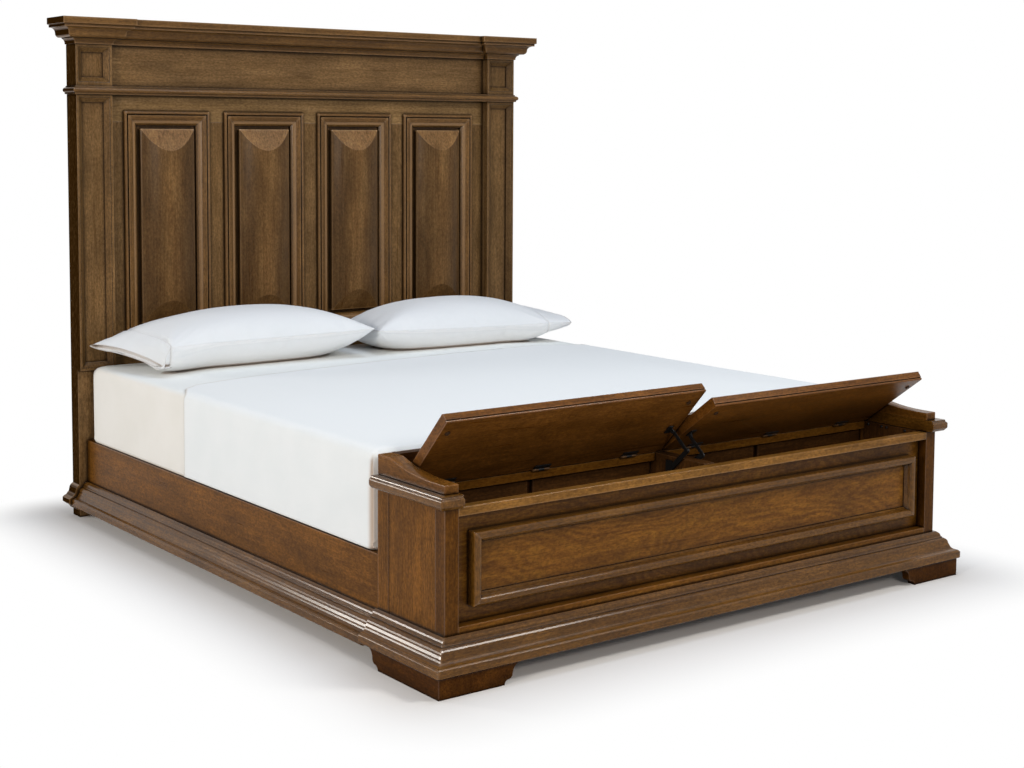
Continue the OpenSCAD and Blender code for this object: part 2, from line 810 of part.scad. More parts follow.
// Moulded caps on the ends of the chest, flush on their inner side
module arm_caps() {
  color(wood) both() wrap(cap_profile, inner_half, chest_half, front_y, back_y, chest_h, left = 0);
}

// Arms that dip towards the front
module gallery_arms() {
  z0 = chest_h + cap_h;
  z1 = z0 + arm_h;
  run = chest_d - arm_flat - arm_back;
  dip_r = (run * run + arm_drop * arm_drop) / (2 * arm_drop);
  color(wood) both() difference() {
    block([inner_half, front_y, z0], [chest_half, back_y, z1]);
    block([inner_half - 1, front_y - 1, z1 - arm_drop], [chest_half + 1, front_y + arm_flat, z1 + 1]);
    translate([inner_half - 1, front_y + arm_flat, z1 - arm_drop + dip_r]) rotate([0, 90, 0])
      cylinder(r = dip_r, h = arm_t + 2, $fn = 360);
  }
}

// A lid, shut: a board with a grooved and beaded front edge
module lid_board() {
  top = lid_low + lid_t;
  gain = knuckle_r + 1;
  edge = concat([[hinge_y - 0.5, lid_low], [hinge_y - 0.5, top - 2], [hinge_y - 2.5, top]],
    arc(lid_front + 4, top - 4, 4, 90, 180, 4),
    [[lid_front, lid_low + 9], [lid_front + 2.5, lid_low + 7.5]],
    arc(lid_front + 3.5, lid_low + 3.5, 3.5, 90, 270, 6));
  difference() {
    along_x(lid_x0, lid_x1, edge);
    for (x = hinge_at) block([x - hinge_l / 2 - hinge_room, hinge_y - gain, lid_low - 1],
      [x + hinge_l / 2 + hinge_room, hinge_y + 1, hinge_z + gain]);
  }
}

module lid_left() {
  color(wood) opened(lid_angle_left) mirror([1, 0, 0]) lid_board();
}

module lid_right() {
  color(wood) opened(lid_angle_right) lid_board();
}

knuckle_l = hinge_l / 3;

// A knuckle with its bore
module knuckle(x0, x1) {
  translate([x0, hinge_y, hinge_z]) rotate([0, 90, 0]) difference() {
    cylinder(r = knuckle_r, h = x1 - x0, $fn = 32);
    translate([0, 0, -1]) cylinder(r = pin_r + pin_gap, h = x1 - x0 + 2, $fn = 32);
  }
}

// A leaf's tongue, which ends in the wall of its knuckle
module tongue(x0, x1, y0, y1, z0) {
  difference() {
    block([x0, y0, z0], [x1, y1, z0 + leaf_t]);
    translate([x0 - 1, hinge_y, hinge_z]) rotate([0, 90, 0])
      cylinder(r = (pin_r + knuckle_r) / 2, h = x1 - x0 + 2, $fn = 32);
  }
}

// Fixed leaves on the hinge rail, with the two outer knuckles of each hinge
module hinge_leaves() {
  color(black_metal) both() for (x = hinge_at) {
    block([x - hinge_l / 2, hinge_rail_y, chest_h], [x + hinge_l / 2, hinge_y + leaf_w, chest_h + leaf_t]);
    for (side = [-1, 1]) {
      a = x + side * hinge_l / 2;
      b = x + side * (knuckle_l / 2 + knuckle_gap);
      knuckle(min(a, b), max(a, b));
      tongue(min(a, b), max(a, b), hinge_y, hinge_rail_y + 0.1, chest_h);
    }
  }
}

// A pin through the knuckles, with a head at each end
module hinge_pin() {
  end = 0.2;
  rotate([0, 90, 0]) {
    translate([0, 0, -end]) cylinder(r = pin_r, h = hinge_l + 2 * end, $fn = 32);
    for (z = [-end - 1, hinge_l + end]) translate([0, 0, z]) cylinder(r = pin_r + 1, h = 1, $fn = 32);
  }
}

module hinge_pins() {
  color(black_metal) both() for (x = hinge_at) translate([x - hinge_l / 2, hinge_y, hinge_z]) hinge_pin();
}

// Moving leaves, and the stay's lug with its pin, on the underside of a lid
module lid_fittings() {
  z0 = lid_low - leaf_t;
  for (x = hinge_at) {
    block([x - hinge_l / 2, hinge_y - leaf_w, z0], [x + hinge_l / 2, hinge_y - leaf_back, lid_low]);
    knuckle(x - knuckle_l / 2, x + knuckle_l / 2);
    tongue(x - knuckle_l / 2, x + knuckle_l / 2, hinge_y - leaf_back - 0.1, hinge_y, z0);
  }
  lug_y = hinge_y - stay_reach;
  lug_z = hinge_z - stay_depth;
  eye_r = stay_pin_r * 2.2;
  block([lug_x, lug_y - 16, lid_low - bar_t], [lug_x + 20, lug_y + 16, lid_low]);
  block([lug_x, lug_y - eye_r, lug_z], [lug_x + bar_t, lug_y + eye_r, lid_low]);
  translate([lug_x, lug_y, lug_z]) rotate([0, 90, 0]) cylinder(r = eye_r, h = bar_t, $fn = 32);
  translate([link_x - bar_gap / 2, lug_y, lug_z]) rotate([0, 90, 0])
    cylinder(r = stay_pin_r, h = lug_x - link_x + bar_gap, $fn = 32);
}

module lid_fittings_left() {
  color(black_metal) opened(lid_angle_left) mirror([1, 0, 0]) lid_fittings();
}

module lid_fittings_right() {
  color(black_metal) opened(lid_angle_right) lid_fittings();
}

// Plates on the divider with the lower pivot pins
module stay_brackets() {
  x = divider_t / 2;
  color(black_metal) both() {
    block([x, stay_y - 14, stay_z - 16], [x + bar_t, stay_y + 14, stay_z + 34]);
    translate([x, stay_y, stay_z]) rotate([0, 90, 0])
      cylinder(r = pivot_pin_r, h = 2 * bar_t + 1.5 * bar_gap, $fn = 32);
  }
}

// A flat bar from the origin along +Y with a round end and an eye at both ends
module bar(x, length, width, eye_a, eye_b) {
  translate([x, 0, 0]) rotate([0, 90, 0]) difference() {
    union() {
      cylinder(r = width / 2, h = bar_t, $fn = 48);
      translate([0, length, 0]) cylinder(r = width / 2, h = bar_t, $fn = 48);
      translate([-width / 2, 0, 0]) cube([width, length, bar_t]);
    }
    translate([0, 0, -1]) cylinder(r = eye_a, h = bar_t + 2, $fn = 32);
    translate([0, length, -1]) cylinder(r = eye_b, h = bar_t + 2, $fn = 32);
  }
}

// Lower bar of a stay: it turns on the bracket as far as the lid opens
module stay_arm(angle) {
  translate([0, stay_y, stay_z]) rotate([stay_dip - angle, 0, 0]) mirror([0, 1, 0]) {
    bar(arm_x, stay_len, arm_bar_w, pivot_pin_r + pin_gap, stay_pin_r - 0.01);
    translate([arm_x, stay_len, 0]) rotate([0, 90, 0])
      cylinder(r = stay_pin_r, h = 2 * bar_t + 2 * bar_gap, $fn = 32);
  }
}

module stay_arm_left() {
  color(black_metal) mirror([1, 0, 0]) stay_arm(lid_angle_left);
}

module stay_arm_right() {
  color(black_metal) stay_arm(lid_angle_right);
}

// Upper bar of a stay: it keeps its own direction while the lid turns
module stay_link(angle) {
  pin_y = hinge_y - stay_reach * cos(angle) - stay_depth * sin(angle);
  pin_z = hinge_z + stay_reach * sin(angle) - stay_depth * cos(angle);
  translate([0, pin_y, pin_z]) rotate([link_dir, 0, 0]) mirror([0, 1, 0])
    bar(link_x, link_len, link_bar_w, stay_pin_r + pin_gap, stay_pin_r + 0.3);
}

module stay_link_left() {
  color(black_metal) mirror([1, 0, 0]) stay_link(lid_angle_left);
}

module stay_link_right() {
  color(black_metal) stay_link(lid_angle_right);
}

// Rubber bumpers under the front corners of a lid
module bumpers() {
  for (x = [lid_x0 + 40, lid_x1 - 25])
    translate([x, front_y + frame_t / 2, lid_low - bumper_h]) cylinder(r = bumper_r, h = bumper_h, $fn = 32);
}

module bumpers_left() {
  color(black_metal) opened(lid_angle_left) mirror([1, 0, 0]) bumpers();
}

module bumpers_right() {
  color(black_metal) opened(lid_angle_right) bumpers();
}

// Points of a rounded rectangle: one ring of n points, with corner radius r
function ring(w, l, r, n) = [for (i = [0 : n - 1])
  let (a = 360 * i / n, sx = cos(a) >= 0 ? 1 : -1, sy = sin(a) >= 0 ? 1 : -1)
  [sx * (w / 2 - r) + r * cos(a), sy * (l / 2 - r) + r * sin(a)]];

// A closed skin over rings of equal count, lowest first
module lofted(rings) {
  n = len(rings[0]);
  m = len(rings);
  points = [for (layer = rings) each layer];
  faces = concat([[for (i = [0 : n - 1]) i]],
    [for (k = [0 : m - 2]) for (i = [0 : n - 1]) let (a = k * n, b = a + n, j = (i + 1) % n)
      each [[a + i, b + i, b + j], [a + i, b + j, a + j]]],
    [[for (i = [n - 1 : -1 : 0]) (m - 1) * n + i]]);
  polyhedron(points = points, faces = faces, convexity = 4);
}

mattress_mid = mattress_y + mattress_l / 2;
edge_top = mattress_z + mattress_t - mattress_crown;
crown_share = 0.6;
swell_rise = 24;

// One ring of the mattress's edge, at an angle up the rounding, grown by a skin and swollen at the sides
function edge_ring(a, z, grow, swell) = let (inset = edge_r * (1 - sin(a)) - grow)
  [for (q = ring(mattress_w + 2 * (swell - inset), mattress_l - 2 * inset, corner_r, 48)) [q[0], q[1], z]];

// Rings of the mattress, grown by a skin: soft edges, sides that swell over the rails and a low crown
function mattress_rings(grow) = concat(
  [for (a = [0, 30, 60, 90]) edge_ring(a, mattress_z + edge_r * (1 - cos(a)), grow, 0)],
  [edge_ring(90, rail_top + soft_gap, grow, 0), edge_ring(90, rail_top + swell_rise, grow, mattress_swell)],
  [for (a = [90 : -22.5 : 0]) edge_ring(a, edge_top - edge_r * (1 - cos(a)) + grow, grow, mattress_swell)],
  [[for (q = ring(mattress_w * crown_share, mattress_l * crown_share, corner_r, 48))
    [q[0], q[1], edge_top + mattress_crown + grow]]]);

// Height of the mattress's top at a place towards the head
function top_at(y) = let (edge = mattress_l / 2 - edge_r, inner = mattress_l / 2 * crown_share)
  edge_top + mattress_crown * max(0, min(1, (edge + mattress_mid - y) / (edge - inner)));

module mattress() {
  color(linen) translate([0, mattress_mid, 0]) lofted(mattress_rings(0));
}

// Sheet over the lower part of the mattress, tucked in at the rails
module flat_sheet() {
  hem = mattress_y + sheet_l;
  color(linen) difference() {
    intersection() {
      translate([0, mattress_mid, 0]) lofted(mattress_rings(sheet_t + soft_gap));
      translate([0, 0, rail_top + 2]) linear_extrude(mattress_t)
        polygon([[-chest_half, back_y], [chest_half, back_y], [chest_half, hem + sheet_skew],
          [-chest_half, hem - sheet_skew]]);
    }
    translate([0, mattress_mid, 0]) lofted(mattress_rings(soft_gap));
  }
}

// Point i of n on the edge of a square from -1 to 1
function square_point(i, n) = let (s = 4 * i / n, side = floor(s), u = 2 * (s - side) - 1)
  side == 0 ? [1, u] : side == 1 ? [-u, 1] : side == 2 ? [-1, -u] : [u, -1];

// One layer of a pillow: drawn-in sides and pointed corners at the seam, rounder towards the crown
function pillow_layer(l, d, t, z) = [for (i = [0 : 47])
  let (q = square_point(i, 48), roundness = abs(sin(t)), e = q * (1 - roundness + roundness / norm(q)),
    f = pow(cos(t), 0.42))
  [l / 2 * f * e[0] * (1 - pillow_pinch * (1 - e[1] * e[1])),
    d / 2 * f * e[1] * (1 - pillow_pinch * (1 - e[0] * e[0])), z]];

pillow_under = 0.36;
pillow_flat = 78;

// A pillow with a crown above and a flatter underside, lying on the level z = 0
module pillow(l, d, h) {
  under = h * pillow_under;
  seam = under * sin(pillow_flat);
  rise = (h - seam) / sin(pillow_flat);
  lofted(concat(
    [for (k = [-8 : -1]) let (t = k * pillow_flat / 8) pillow_layer(l, d, t, seam + under * sin(t))],
    [for (k = [0 : 9]) let (t = k * pillow_flat / 9) pillow_layer(l, d, t, seam + rise * sin(t))]));
}

// Lays a pillow of depth d on the mattress, with its back towards the headboard
module laid(x, d, back_gap) {
  y = post_y - back_gap - d / 2;
  foremost = y - d / 2 * pow(cos(pillow_flat), 0.42);
  translate([x, y, top_at(foremost) + soft_gap]) children();
}

module pillow_left() {
  color(linen) laid(pillow_meet - pillow_l / 2, pillow_d, 12) pillow(pillow_l, pillow_d, pillow_h);
}

module pillow_right() {
  right_l = pillow_l * pillow_ratio;
  color(linen) laid(pillow_meet + 2 + right_l / 2, pillow_d, 30)
    pillow(right_l, pillow_d, pillow_h * pillow_ratio);
}

head_legs();
pilasters();
bead_rail();
frieze_board();
crown_ends();
crown_centre();
head_top_rail();
head_bottom_rail();
head_stiles();
panel_mouldings();
raised_panels();
head_back_panel();
head_cross_rail();
head_base_mouldings();
side_rail_left();
side_rail_right();
rail_moulding_left();
rail_moulding_right();
slat_ledgers();
slats();
centre_beam();
centre_legs();
leg_glides();
rail_brackets();
bolts();
corner_posts();
rear_stiles();
end_panels();
front_top_rail();
front_bottom_rail();
front_panel();
front_moulding();
chest_back();
hinge_rail();
chest_floor();
chest_divider();
chest_liners();
base_mouldings();
chest_plinth();
bracket_feet();
rear_blocks();
arm_caps();
gallery_arms();
lid_left();
lid_right();
hinge_leaves();
hinge_pins();
lid_fittings_left();
lid_fittings_right();
stay_brackets();
stay_arm_left();
stay_arm_right();
stay_link_left();
stay_link_right();
bumpers_left();
bumpers_right();
mattress();
flat_sheet();
pillow_left();
pillow_right();
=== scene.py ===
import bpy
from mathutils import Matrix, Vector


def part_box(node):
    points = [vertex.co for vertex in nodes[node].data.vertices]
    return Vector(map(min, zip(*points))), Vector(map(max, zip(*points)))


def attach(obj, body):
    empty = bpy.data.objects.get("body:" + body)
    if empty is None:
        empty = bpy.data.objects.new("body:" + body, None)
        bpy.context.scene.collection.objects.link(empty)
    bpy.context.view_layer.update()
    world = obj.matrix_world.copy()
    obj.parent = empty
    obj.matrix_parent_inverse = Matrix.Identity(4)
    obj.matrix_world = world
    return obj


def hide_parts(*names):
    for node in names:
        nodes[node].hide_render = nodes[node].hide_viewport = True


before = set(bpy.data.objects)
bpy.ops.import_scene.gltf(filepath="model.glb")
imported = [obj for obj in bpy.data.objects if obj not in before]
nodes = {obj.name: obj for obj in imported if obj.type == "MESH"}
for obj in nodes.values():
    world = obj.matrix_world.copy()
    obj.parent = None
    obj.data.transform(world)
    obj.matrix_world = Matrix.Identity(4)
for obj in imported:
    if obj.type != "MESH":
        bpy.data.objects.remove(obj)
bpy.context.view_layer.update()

import math

import bmesh
import bpy
import numpy as np
from mathutils import Matrix, Vector, noise
from mathutils.bvhtree import BVHTree

scene = bpy.context.scene


lens = {
    "place": (-3.4103, -4.7438, 1.4861),  # metres
    "yaw": 0.6411,  # radians, from +Y towards +X
    "pitch": 0.0785,  # down
    "roll": 0.0051,
    "lengthMm": 57.577,
    "sensorMm": 36,
    "shiftY": -0.12,
    "farthest": 60,  # metres
}
cameraData = bpy.data.cameras.new("portraitCamera")
cameraData.lens = lens["lengthMm"]
cameraData.sensor_width = lens["sensorMm"]
cameraData.shift_y = lens["shiftY"]
cameraData.clip_end = lens["farthest"]
camera = bpy.data.objects.new("portraitCamera", cameraData)
scene.collection.objects.link(camera)
camera.matrix_world = (
    Matrix.Translation(lens["place"])
    @ Matrix.Rotation(-lens["yaw"], 4, "Z")
    @ Matrix.Rotation(math.pi / 2 - lens["pitch"], 4, "X")
    @ Matrix.Rotation(lens["roll"], 4, "Z")
)
scene.camera = camera
print("camera set")


# small helpers for materials
def toLinear(hexColour):
    channels = [int(hexColour[i : i + 2], 16) / 255 for i in (1, 3, 5)]
    return [c / 12.92 if c <= 0.04045 else ((c + 0.055) / 1.055) ** 2.4 for c in channels] + [1.0]


# Inputs are a list in the node's own order, or a dictionary by name or number. With out, it gives that socket.
def addNode(tree, kind, inputs=(), out=None, **settings):
    node = tree.nodes.new(kind)
    for name, value in settings.items():
        setattr(node, name, value)
    for name, value in inputs.items() if isinstance(inputs, dict) else enumerate(inputs):
        if isinstance(value, bpy.types.NodeSocket):
            tree.links.new(value, node.inputs[name])
        else:
            node.inputs[name].default_value = value
    return node if out is None else node.outputs[out]


def blankMaterial(name):
    material = bpy.data.materials.new(name)
    material.use_nodes = True
    material.node_tree.nodes.clear()
    return material, material.node_tree


# Birch veneer and solid mouldings, stained brown, wiped with a dark glaze and sprayed with satin lacquer:
# the eye gets long soft streaks, short dark pores, near-black corners and a broken shine on the rounds.
# Each tone is: pale, body, streak, glaze.
woodTones = {
    "frontRail": ("#90662f", "#7a5526", "#5d3e18", "#0e0601"),
    "chest": ("#7d541c", "#694315", "#50300d", "#0e0601"),
    "moulding": ("#6f4c1d", "#593a12", "#3c2408", "#0b0401"),
    "post": ("#5d3b12", "#4b2d0b", "#382005", "#0d0501"),
    "foot": ("#50300d", "#402409", "#2d1805", "#0c0400"),
    "head": ("#806443", "#6d5334", "#553f24", "#0e0602"),
    # painted light: the head's tone made paler for the top rail, which lies in shade under the bead
    "topRail": ("#917450", "#7d623f", "#624b2d", "#0e0602"),
    "stile": ("#755a3a", "#634a2c", "#4d371d", "#0e0602"),
    "headMoulding": ("#72542f", "#5e4221", "#472f14", "#0c0501"),
    "panel": ("#7e603b", "#6a4d2c", "#50361c", "#0e0602"),
    "side": ("#764c1e", "#613e15", "#4a2d0c", "#0f0601"),
    "lid": ("#774c20", "#643e16", "#4a2b0d", "#0f0601"),
    "dark": ("#4c2e12", "#39200b", "#241204", "#100702"),
    "inside": ("#5c3c1c", "#472c12", "#301b0a", "#0f0702"),
    "slat": ("#d6b98e", "#c29f6e", "#9a7644", "#6a4c2a"),
}
# what the log and the maker left in the surface: width across the grain in mm, how many times longer it runs
# along the grain, detail, roughness, distortion
woodPatterns = {
    "fine": (7, 30, 4.0, 0.6, 0.0),
    "broad": (38, 9, 4.0, 0.55, 0.0),
    "clouds": (95, 2.2, 5.0, 0.62, 0.0),  # stain taken up unevenly
    "pores": (3.6, 5, 2.0, 0.6, 0.0),  # real pores are 0.3 mm wide; drawn coarse enough to show
    "flecks": (6.5, 1.8, 2.0, 0.7, 0.0),
    "hills": (230, 3.2, 2.0, 0.4, 0.15),  # the veneer's loops are their height lines
    "sanding": (60, 2.5, 3.0, 0.55, 0.0),
}
# each span is: value from, value to, what that gives at either end
woodStain = {
    "figureLines": 30,  # loops between the lowest and the highest hill
    "figureDepth": 0.16,
    "fineToBroad": 0.5,  # how the two widths of streak are mixed
    "stops": (0.26, 0.5, 0.74),  # where streak, body and pale tone stand
    "cloudTone": (0.28, 0.72, 0.7, 1.3),
    "fleckTone": (0.3, 0.7, 0.68, 1.32),
    "boardTone": (0.0, 1.0, 0.9, 1.1),
    "scoopPaintedLight": (-0.3, 0.3, 0.62, 0.98),  # painted light and shade: darker as the surface turns down, full tone as it turns up
    "flankPaintedShade": (0.03, 0.34, 1.14, 0.6),  # painted shade: darker as the surface turns sideways
    "poreShare": (0.5, 0.72, 0.0, 0.75),
    "washFrom": 0.3,  # the glaze brushed over the hollows, by how closed in they are
    "washTo": 0.9,
    "washShare": 0.62,
    "lineFrom": 0.62,  # the line it leaves in joints and quirks
    "lineTo": 0.94,
    "lineShare": 1.1,
    "arrisSpan": (0.55, 0.93, 1.0, 0.0),
    "bareSpan": (0.7, 0.95, 0.0, 1.0),  # nothing is rubbed down in a joint
    "arrisWearAndHighlightGain": 1.7,  # how many times brighter than the pale tone an arris is: rubbed paler, and a painted highlight
    "arrisGloss": 0.4,
    # painted shade on the headboard's outer sides, which face away from the light
    "endsFrom": 0.96,  # metres out from the bed's middle
    "endsSpan": (0.6, 0.9, 0.0, 1.0),
    "endsShadeShare": 0.96,
    "endsShadeColour": "#241301",
    "shineFrom": 0.3,  # streaks between these two shift the roughness
    "shineTo": 0.7,
    "shineShift": (-0.05, 0.08),
    "poreDepth": 0.0003,
    "poreStrength": 1.35,
    "mostPoreStrength": 0.4,
    "sandingDepth": 0.004,
    "refraction": 1.48,  # satin lacquer
}


# Finds each board's own length and gives it its own piece of the log, with the grain along Z.
def boardGrainTree():
    tree = bpy.data.node_groups.new("boardGrain", "GeometryNodeTree")
    for way in ("INPUT", "OUTPUT"):
        tree.interface.new_socket("Geometry", in_out=way, socket_type="NodeSocketGeometry")
    source = addNode(tree, "NodeGroupInput", out=0)
    island = addNode(tree, "GeometryNodeInputMeshIsland", out="Island Index")
    position = addNode(tree, "GeometryNodeInputPosition", out=0)
    squared = addNode(tree, "ShaderNodeVectorMath", (position, position), out=0, operation="MULTIPLY")
    one = addNode(tree, "ShaderNodeMath", (1.0, 0.0), out=0, operation="ADD")
    count, places, squares = (
        addNode(
            tree, "GeometryNodeAccumulateField", {0: value, "Group ID": island}, out="Total",
            data_type=kind, domain="POINT",
        )
        for value, kind in ((one, "FLOAT"), (position, "FLOAT_VECTOR"), (squared, "FLOAT_VECTOR"))
    )
    share = addNode(tree, "ShaderNodeMath", (1.0, count), out=0, operation="DIVIDE")
    middle, square = (
        addNode(tree, "ShaderNodeVectorMath", {0: total, "Scale": share}, out=0, operation="SCALE")
        for total in (places, squares)
    )
    middleSquare = addNode(tree, "ShaderNodeVectorMath", (middle, middle), out=0, operation="MULTIPLY")
    spread = addNode(tree, "ShaderNodeVectorMath", (square, middleSquare), out=0, operation="SUBTRACT")
    x, y, z = addNode(tree, "ShaderNodeSeparateXYZ", (spread,)).outputs

    # the board runs along the axis in which its points are spread widest
    def beats(first, second, third):
        rival = addNode(tree, "ShaderNodeMath", (second, third), out=0, operation="MAXIMUM")
        return addNode(tree, "ShaderNodeMath", (first, rival), out=0, operation="GREATER_THAN")

    alongX, alongY = beats(x, y, z), beats(y, x, z)
    either = addNode(tree, "ShaderNodeMath", (alongX, alongY), out=0, operation="ADD")
    alongZ = addNode(tree, "ShaderNodeMath", (1.0, either), out=0, operation="SUBTRACT")
    turned = []
    for picks in ((alongZ, alongX, alongY), (alongY, alongZ, alongX), (alongX, alongY, alongZ)):
        axis = addNode(tree, "ShaderNodeCombineXYZ", picks, out=0)
        turned.append(
            addNode(tree, "ShaderNodeVectorMath", (position, axis), out="Value", operation="DOT_PRODUCT")
        )
    turned = addNode(tree, "ShaderNodeCombineXYZ", turned, out=0)
    pick = addNode(tree, "FunctionNodeRandomValue", {"ID": island, "Seed": 5}, out=1, data_type="FLOAT")
    logStep = {0: (7.3, 11.9, 5.1), "Scale": pick}  # metres in the log to the next board
    piece = addNode(tree, "ShaderNodeVectorMath", logStep, out=0, operation="SCALE")
    place = addNode(tree, "ShaderNodeVectorMath", (turned, piece), out=0, operation="ADD")
    geometry = source
    for label, value, kind in (("boardPlace", place, "FLOAT_VECTOR"), ("boardPick", pick, "FLOAT")):
        geometry = addNode(
            tree, "GeometryNodeStoreNamedAttribute", {"Geometry": geometry, "Name": label, "Value": value}, out=0,
            data_type=kind, domain="POINT",
        )
    addNode(tree, "NodeGroupOutput", (geometry,))
    return tree


def glazedWood(
    name, tone, figure=0.3, glazed=1.0, shine=0.3, gloss=0.1, brushedMm=45, lineMm=7, arrisMm=4,
    paleWearAndHighlight=0.2, wavy=0.3, paintedShadeEnds=False, paintedSlopeShading=False,
):
    material, tree = blankMaterial(name)
    pale, body, streak, glaze = (toLinear(colour) for colour in woodTones[tone])
    rubbed = [min(1, woodStain["arrisWearAndHighlightGain"] * c) for c in pale[:3]] + [1.0]
    board = addNode(tree, "ShaderNodeAttribute", out="Vector", attribute_name="boardPlace")
    pick = addNode(tree, "ShaderNodeAttribute", out="Fac", attribute_name="boardPick")
    grain = {}
    for pattern, (widthMm, longer, detail, roughness, distortion) in woodPatterns.items():
        run = (1.0, 1.0, 1 / longer)
        place = addNode(tree, "ShaderNodeVectorMath", (board, run), out=0, operation="MULTIPLY")
        looks = {"Scale": 1000 / widthMm, "Detail": detail, "Roughness": roughness, "Distortion": distortion}
        grain[pattern] = addNode(tree, "ShaderNodeTexNoise", {"Vector": place, **looks}, out="Fac")
    widths = {0: woodStain["fineToBroad"], 2: grain["fine"], 3: grain["broad"]}
    streaks = addNode(tree, "ShaderNodeMix", widths, out=0, data_type="FLOAT")

    # rotary-cut veneer: long irregular loops, like the height lines of a map
    lines = woodStain["figureLines"] * 2 * math.pi
    climb = addNode(tree, "ShaderNodeMath", (grain["hills"], lines), out=0, operation="MULTIPLY")
    loops = addNode(tree, "ShaderNodeMath", (climb,), out=0, operation="SINE")
    depth = woodStain["figureDepth"] * figure
    figured = addNode(tree, "ShaderNodeMath", (loops, depth, streaks), out=0, operation="MULTIPLY_ADD")
    ramp = addNode(tree, "ShaderNodeValToRGB", (figured,))
    stops = ramp.color_ramp.elements
    stops[0].position, middle, stops[1].position = woodStain["stops"]
    stops[0].color, stops[1].color = streak, pale
    stops.new(middle).color = body

    # uneven stain: broad patches a little darker or paler, and boards that took it differently
    surface = addNode(tree, "ShaderNodeNewGeometry")
    facing = addNode(tree, "ShaderNodeSeparateXYZ", (surface.outputs["True Normal"],))
    aside = addNode(tree, "ShaderNodeMath", (facing.outputs[0],), out=0, operation="ABSOLUTE")
    uneven = [(grain["clouds"], "cloudTone"), (grain["flecks"], "fleckTone"), (pick, "boardTone")]
    if paintedSlopeShading:  # painted light and shade on the raised panels: the lower scoop and the sides darker than the upper scoop
        uneven += [(facing.outputs[2], "scoopPaintedLight"), (aside, "flankPaintedShade")]
    gain = 1.0
    for value, span in uneven:
        part = addNode(tree, "ShaderNodeMapRange", (value, *woodStain[span]), out=0)
        gain = addNode(tree, "ShaderNodeMath", (gain, part), out=0, operation="MULTIPLY")
    stained = {0: ramp.outputs["Color"], "Scale": gain}
    colour = addNode(tree, "ShaderNodeVectorMath", stained, out=0, operation="SCALE")
    coats = []  # share and colour, from the stain up
    if paintedShadeEnds:  # painted shade: the outer sides of the headboard are darkened and left duller
        across = addNode(tree, "ShaderNodeSeparateXYZ", (surface.outputs["Position"],), out=0)
        away = addNode(tree, "ShaderNodeMath", (across,), out=0, operation="ABSOLUTE")
        outer = addNode(tree, "ShaderNodeMath", (away, woodStain["endsFrom"]), out=0, operation="GREATER_THAN")
        side = addNode(tree, "ShaderNodeMapRange", (aside, *woodStain["endsSpan"]), out=0)
        ends = addNode(tree, "ShaderNodeMath", (outer, side), out=0, operation="MULTIPLY")
        gloss = addNode(tree, "ShaderNodeMapRange", (ends, 0.0, 1.0, gloss, 0.0), out=0)
        darker = addNode(tree, "ShaderNodeMath", (ends, woodStain["endsShadeShare"]), out=0, operation="MULTIPLY")
        coats.append((darker, toLinear(woodStain["endsShadeColour"])))
    pores = addNode(tree, "ShaderNodeMapRange", (grain["pores"], *woodStain["poreShare"]), out=0)
    coats.append((pores, streak))

    # glaze: brushed thin over the hollows, and left thick in joints and quirks
    hollow, joint, solid = (
        addNode(tree, "ShaderNodeAmbientOcclusion", {"Distance": reachMm / 1000}, out="AO", samples=4, inside=within)
        for reachMm, within in ((brushedMm, False), (lineMm, False), (arrisMm, True))
    )
    washed = (hollow, woodStain["washFrom"], woodStain["washTo"], woodStain["washShare"] * glazed, 0.0)
    lined = (joint, woodStain["lineFrom"], woodStain["lineTo"], min(1, woodStain["lineShare"] * glazed), 0.0)
    for wiped in (washed, lined):
        coats.append((addNode(tree, "ShaderNodeMapRange", wiped, out=0), glaze))

    # arrises were rubbed through to a paler brown and shine more; the paler brown is also a painted highlight
    corner = addNode(tree, "ShaderNodeMapRange", (solid, *woodStain["arrisSpan"]), out=0)
    bare = addNode(tree, "ShaderNodeMapRange", (joint, *woodStain["bareSpan"]), out=0)
    arris = addNode(tree, "ShaderNodeMath", (corner, bare), out=0, operation="MULTIPLY")
    if paintedShadeEnds:
        dulled = addNode(tree, "ShaderNodeMapRange", (ends, 0.0, 1.0, 1.0, 0.0), out=0)
        arris = addNode(tree, "ShaderNodeMath", (arris, dulled), out=0, operation="MULTIPLY")
    paler, shining = (
        addNode(tree, "ShaderNodeMath", (arris, share), out=0, operation="MULTIPLY")
        for share in (paleWearAndHighlight, woodStain["arrisGloss"])
    )
    coats.append((paler, rubbed))
    for share, coat in coats:
        colour = addNode(tree, "ShaderNodeMix", {0: share, 6: colour, 7: coat}, out=2, data_type="RGBA")

    # lacquer: pores sink in, hand sanding leaves slow waves that break the highlights
    sunk = {
        "Height": grain["pores"], "Distance": woodStain["poreDepth"],
        "Strength": min(woodStain["mostPoreStrength"], woodStain["poreStrength"] * wavy),
    }
    sunk = addNode(tree, "ShaderNodeBump", sunk, out=0)
    waved = {
        "Height": grain["sanding"], "Distance": woodStain["sandingDepth"], "Strength": wavy, "Normal": sunk,
    }
    smoother, rougher = (shine + shift for shift in woodStain["shineShift"])
    roughness = (streaks, woodStain["shineFrom"], woodStain["shineTo"], smoother, rougher)
    lacquer = {
        "Base Color": colour,
        "Roughness": addNode(tree, "ShaderNodeMapRange", roughness, out=0),
        "Normal": addNode(tree, "ShaderNodeBump", waved, out=0),
        "IOR": woodStain["refraction"],
        "Specular IOR Level": addNode(tree, "ShaderNodeMath", (gloss, shining), out=0, operation="ADD"),
    }
    shader = addNode(tree, "ShaderNodeBsdfPrincipled", lacquer, out=0)
    addNode(tree, "ShaderNodeOutputMaterial", {"Surface": shader})
    return material


pebbles = {"sizeMm": 1.2, "detail": 2.0, "depth": 0.0002, "strength": 0.4}  # of a powder coat


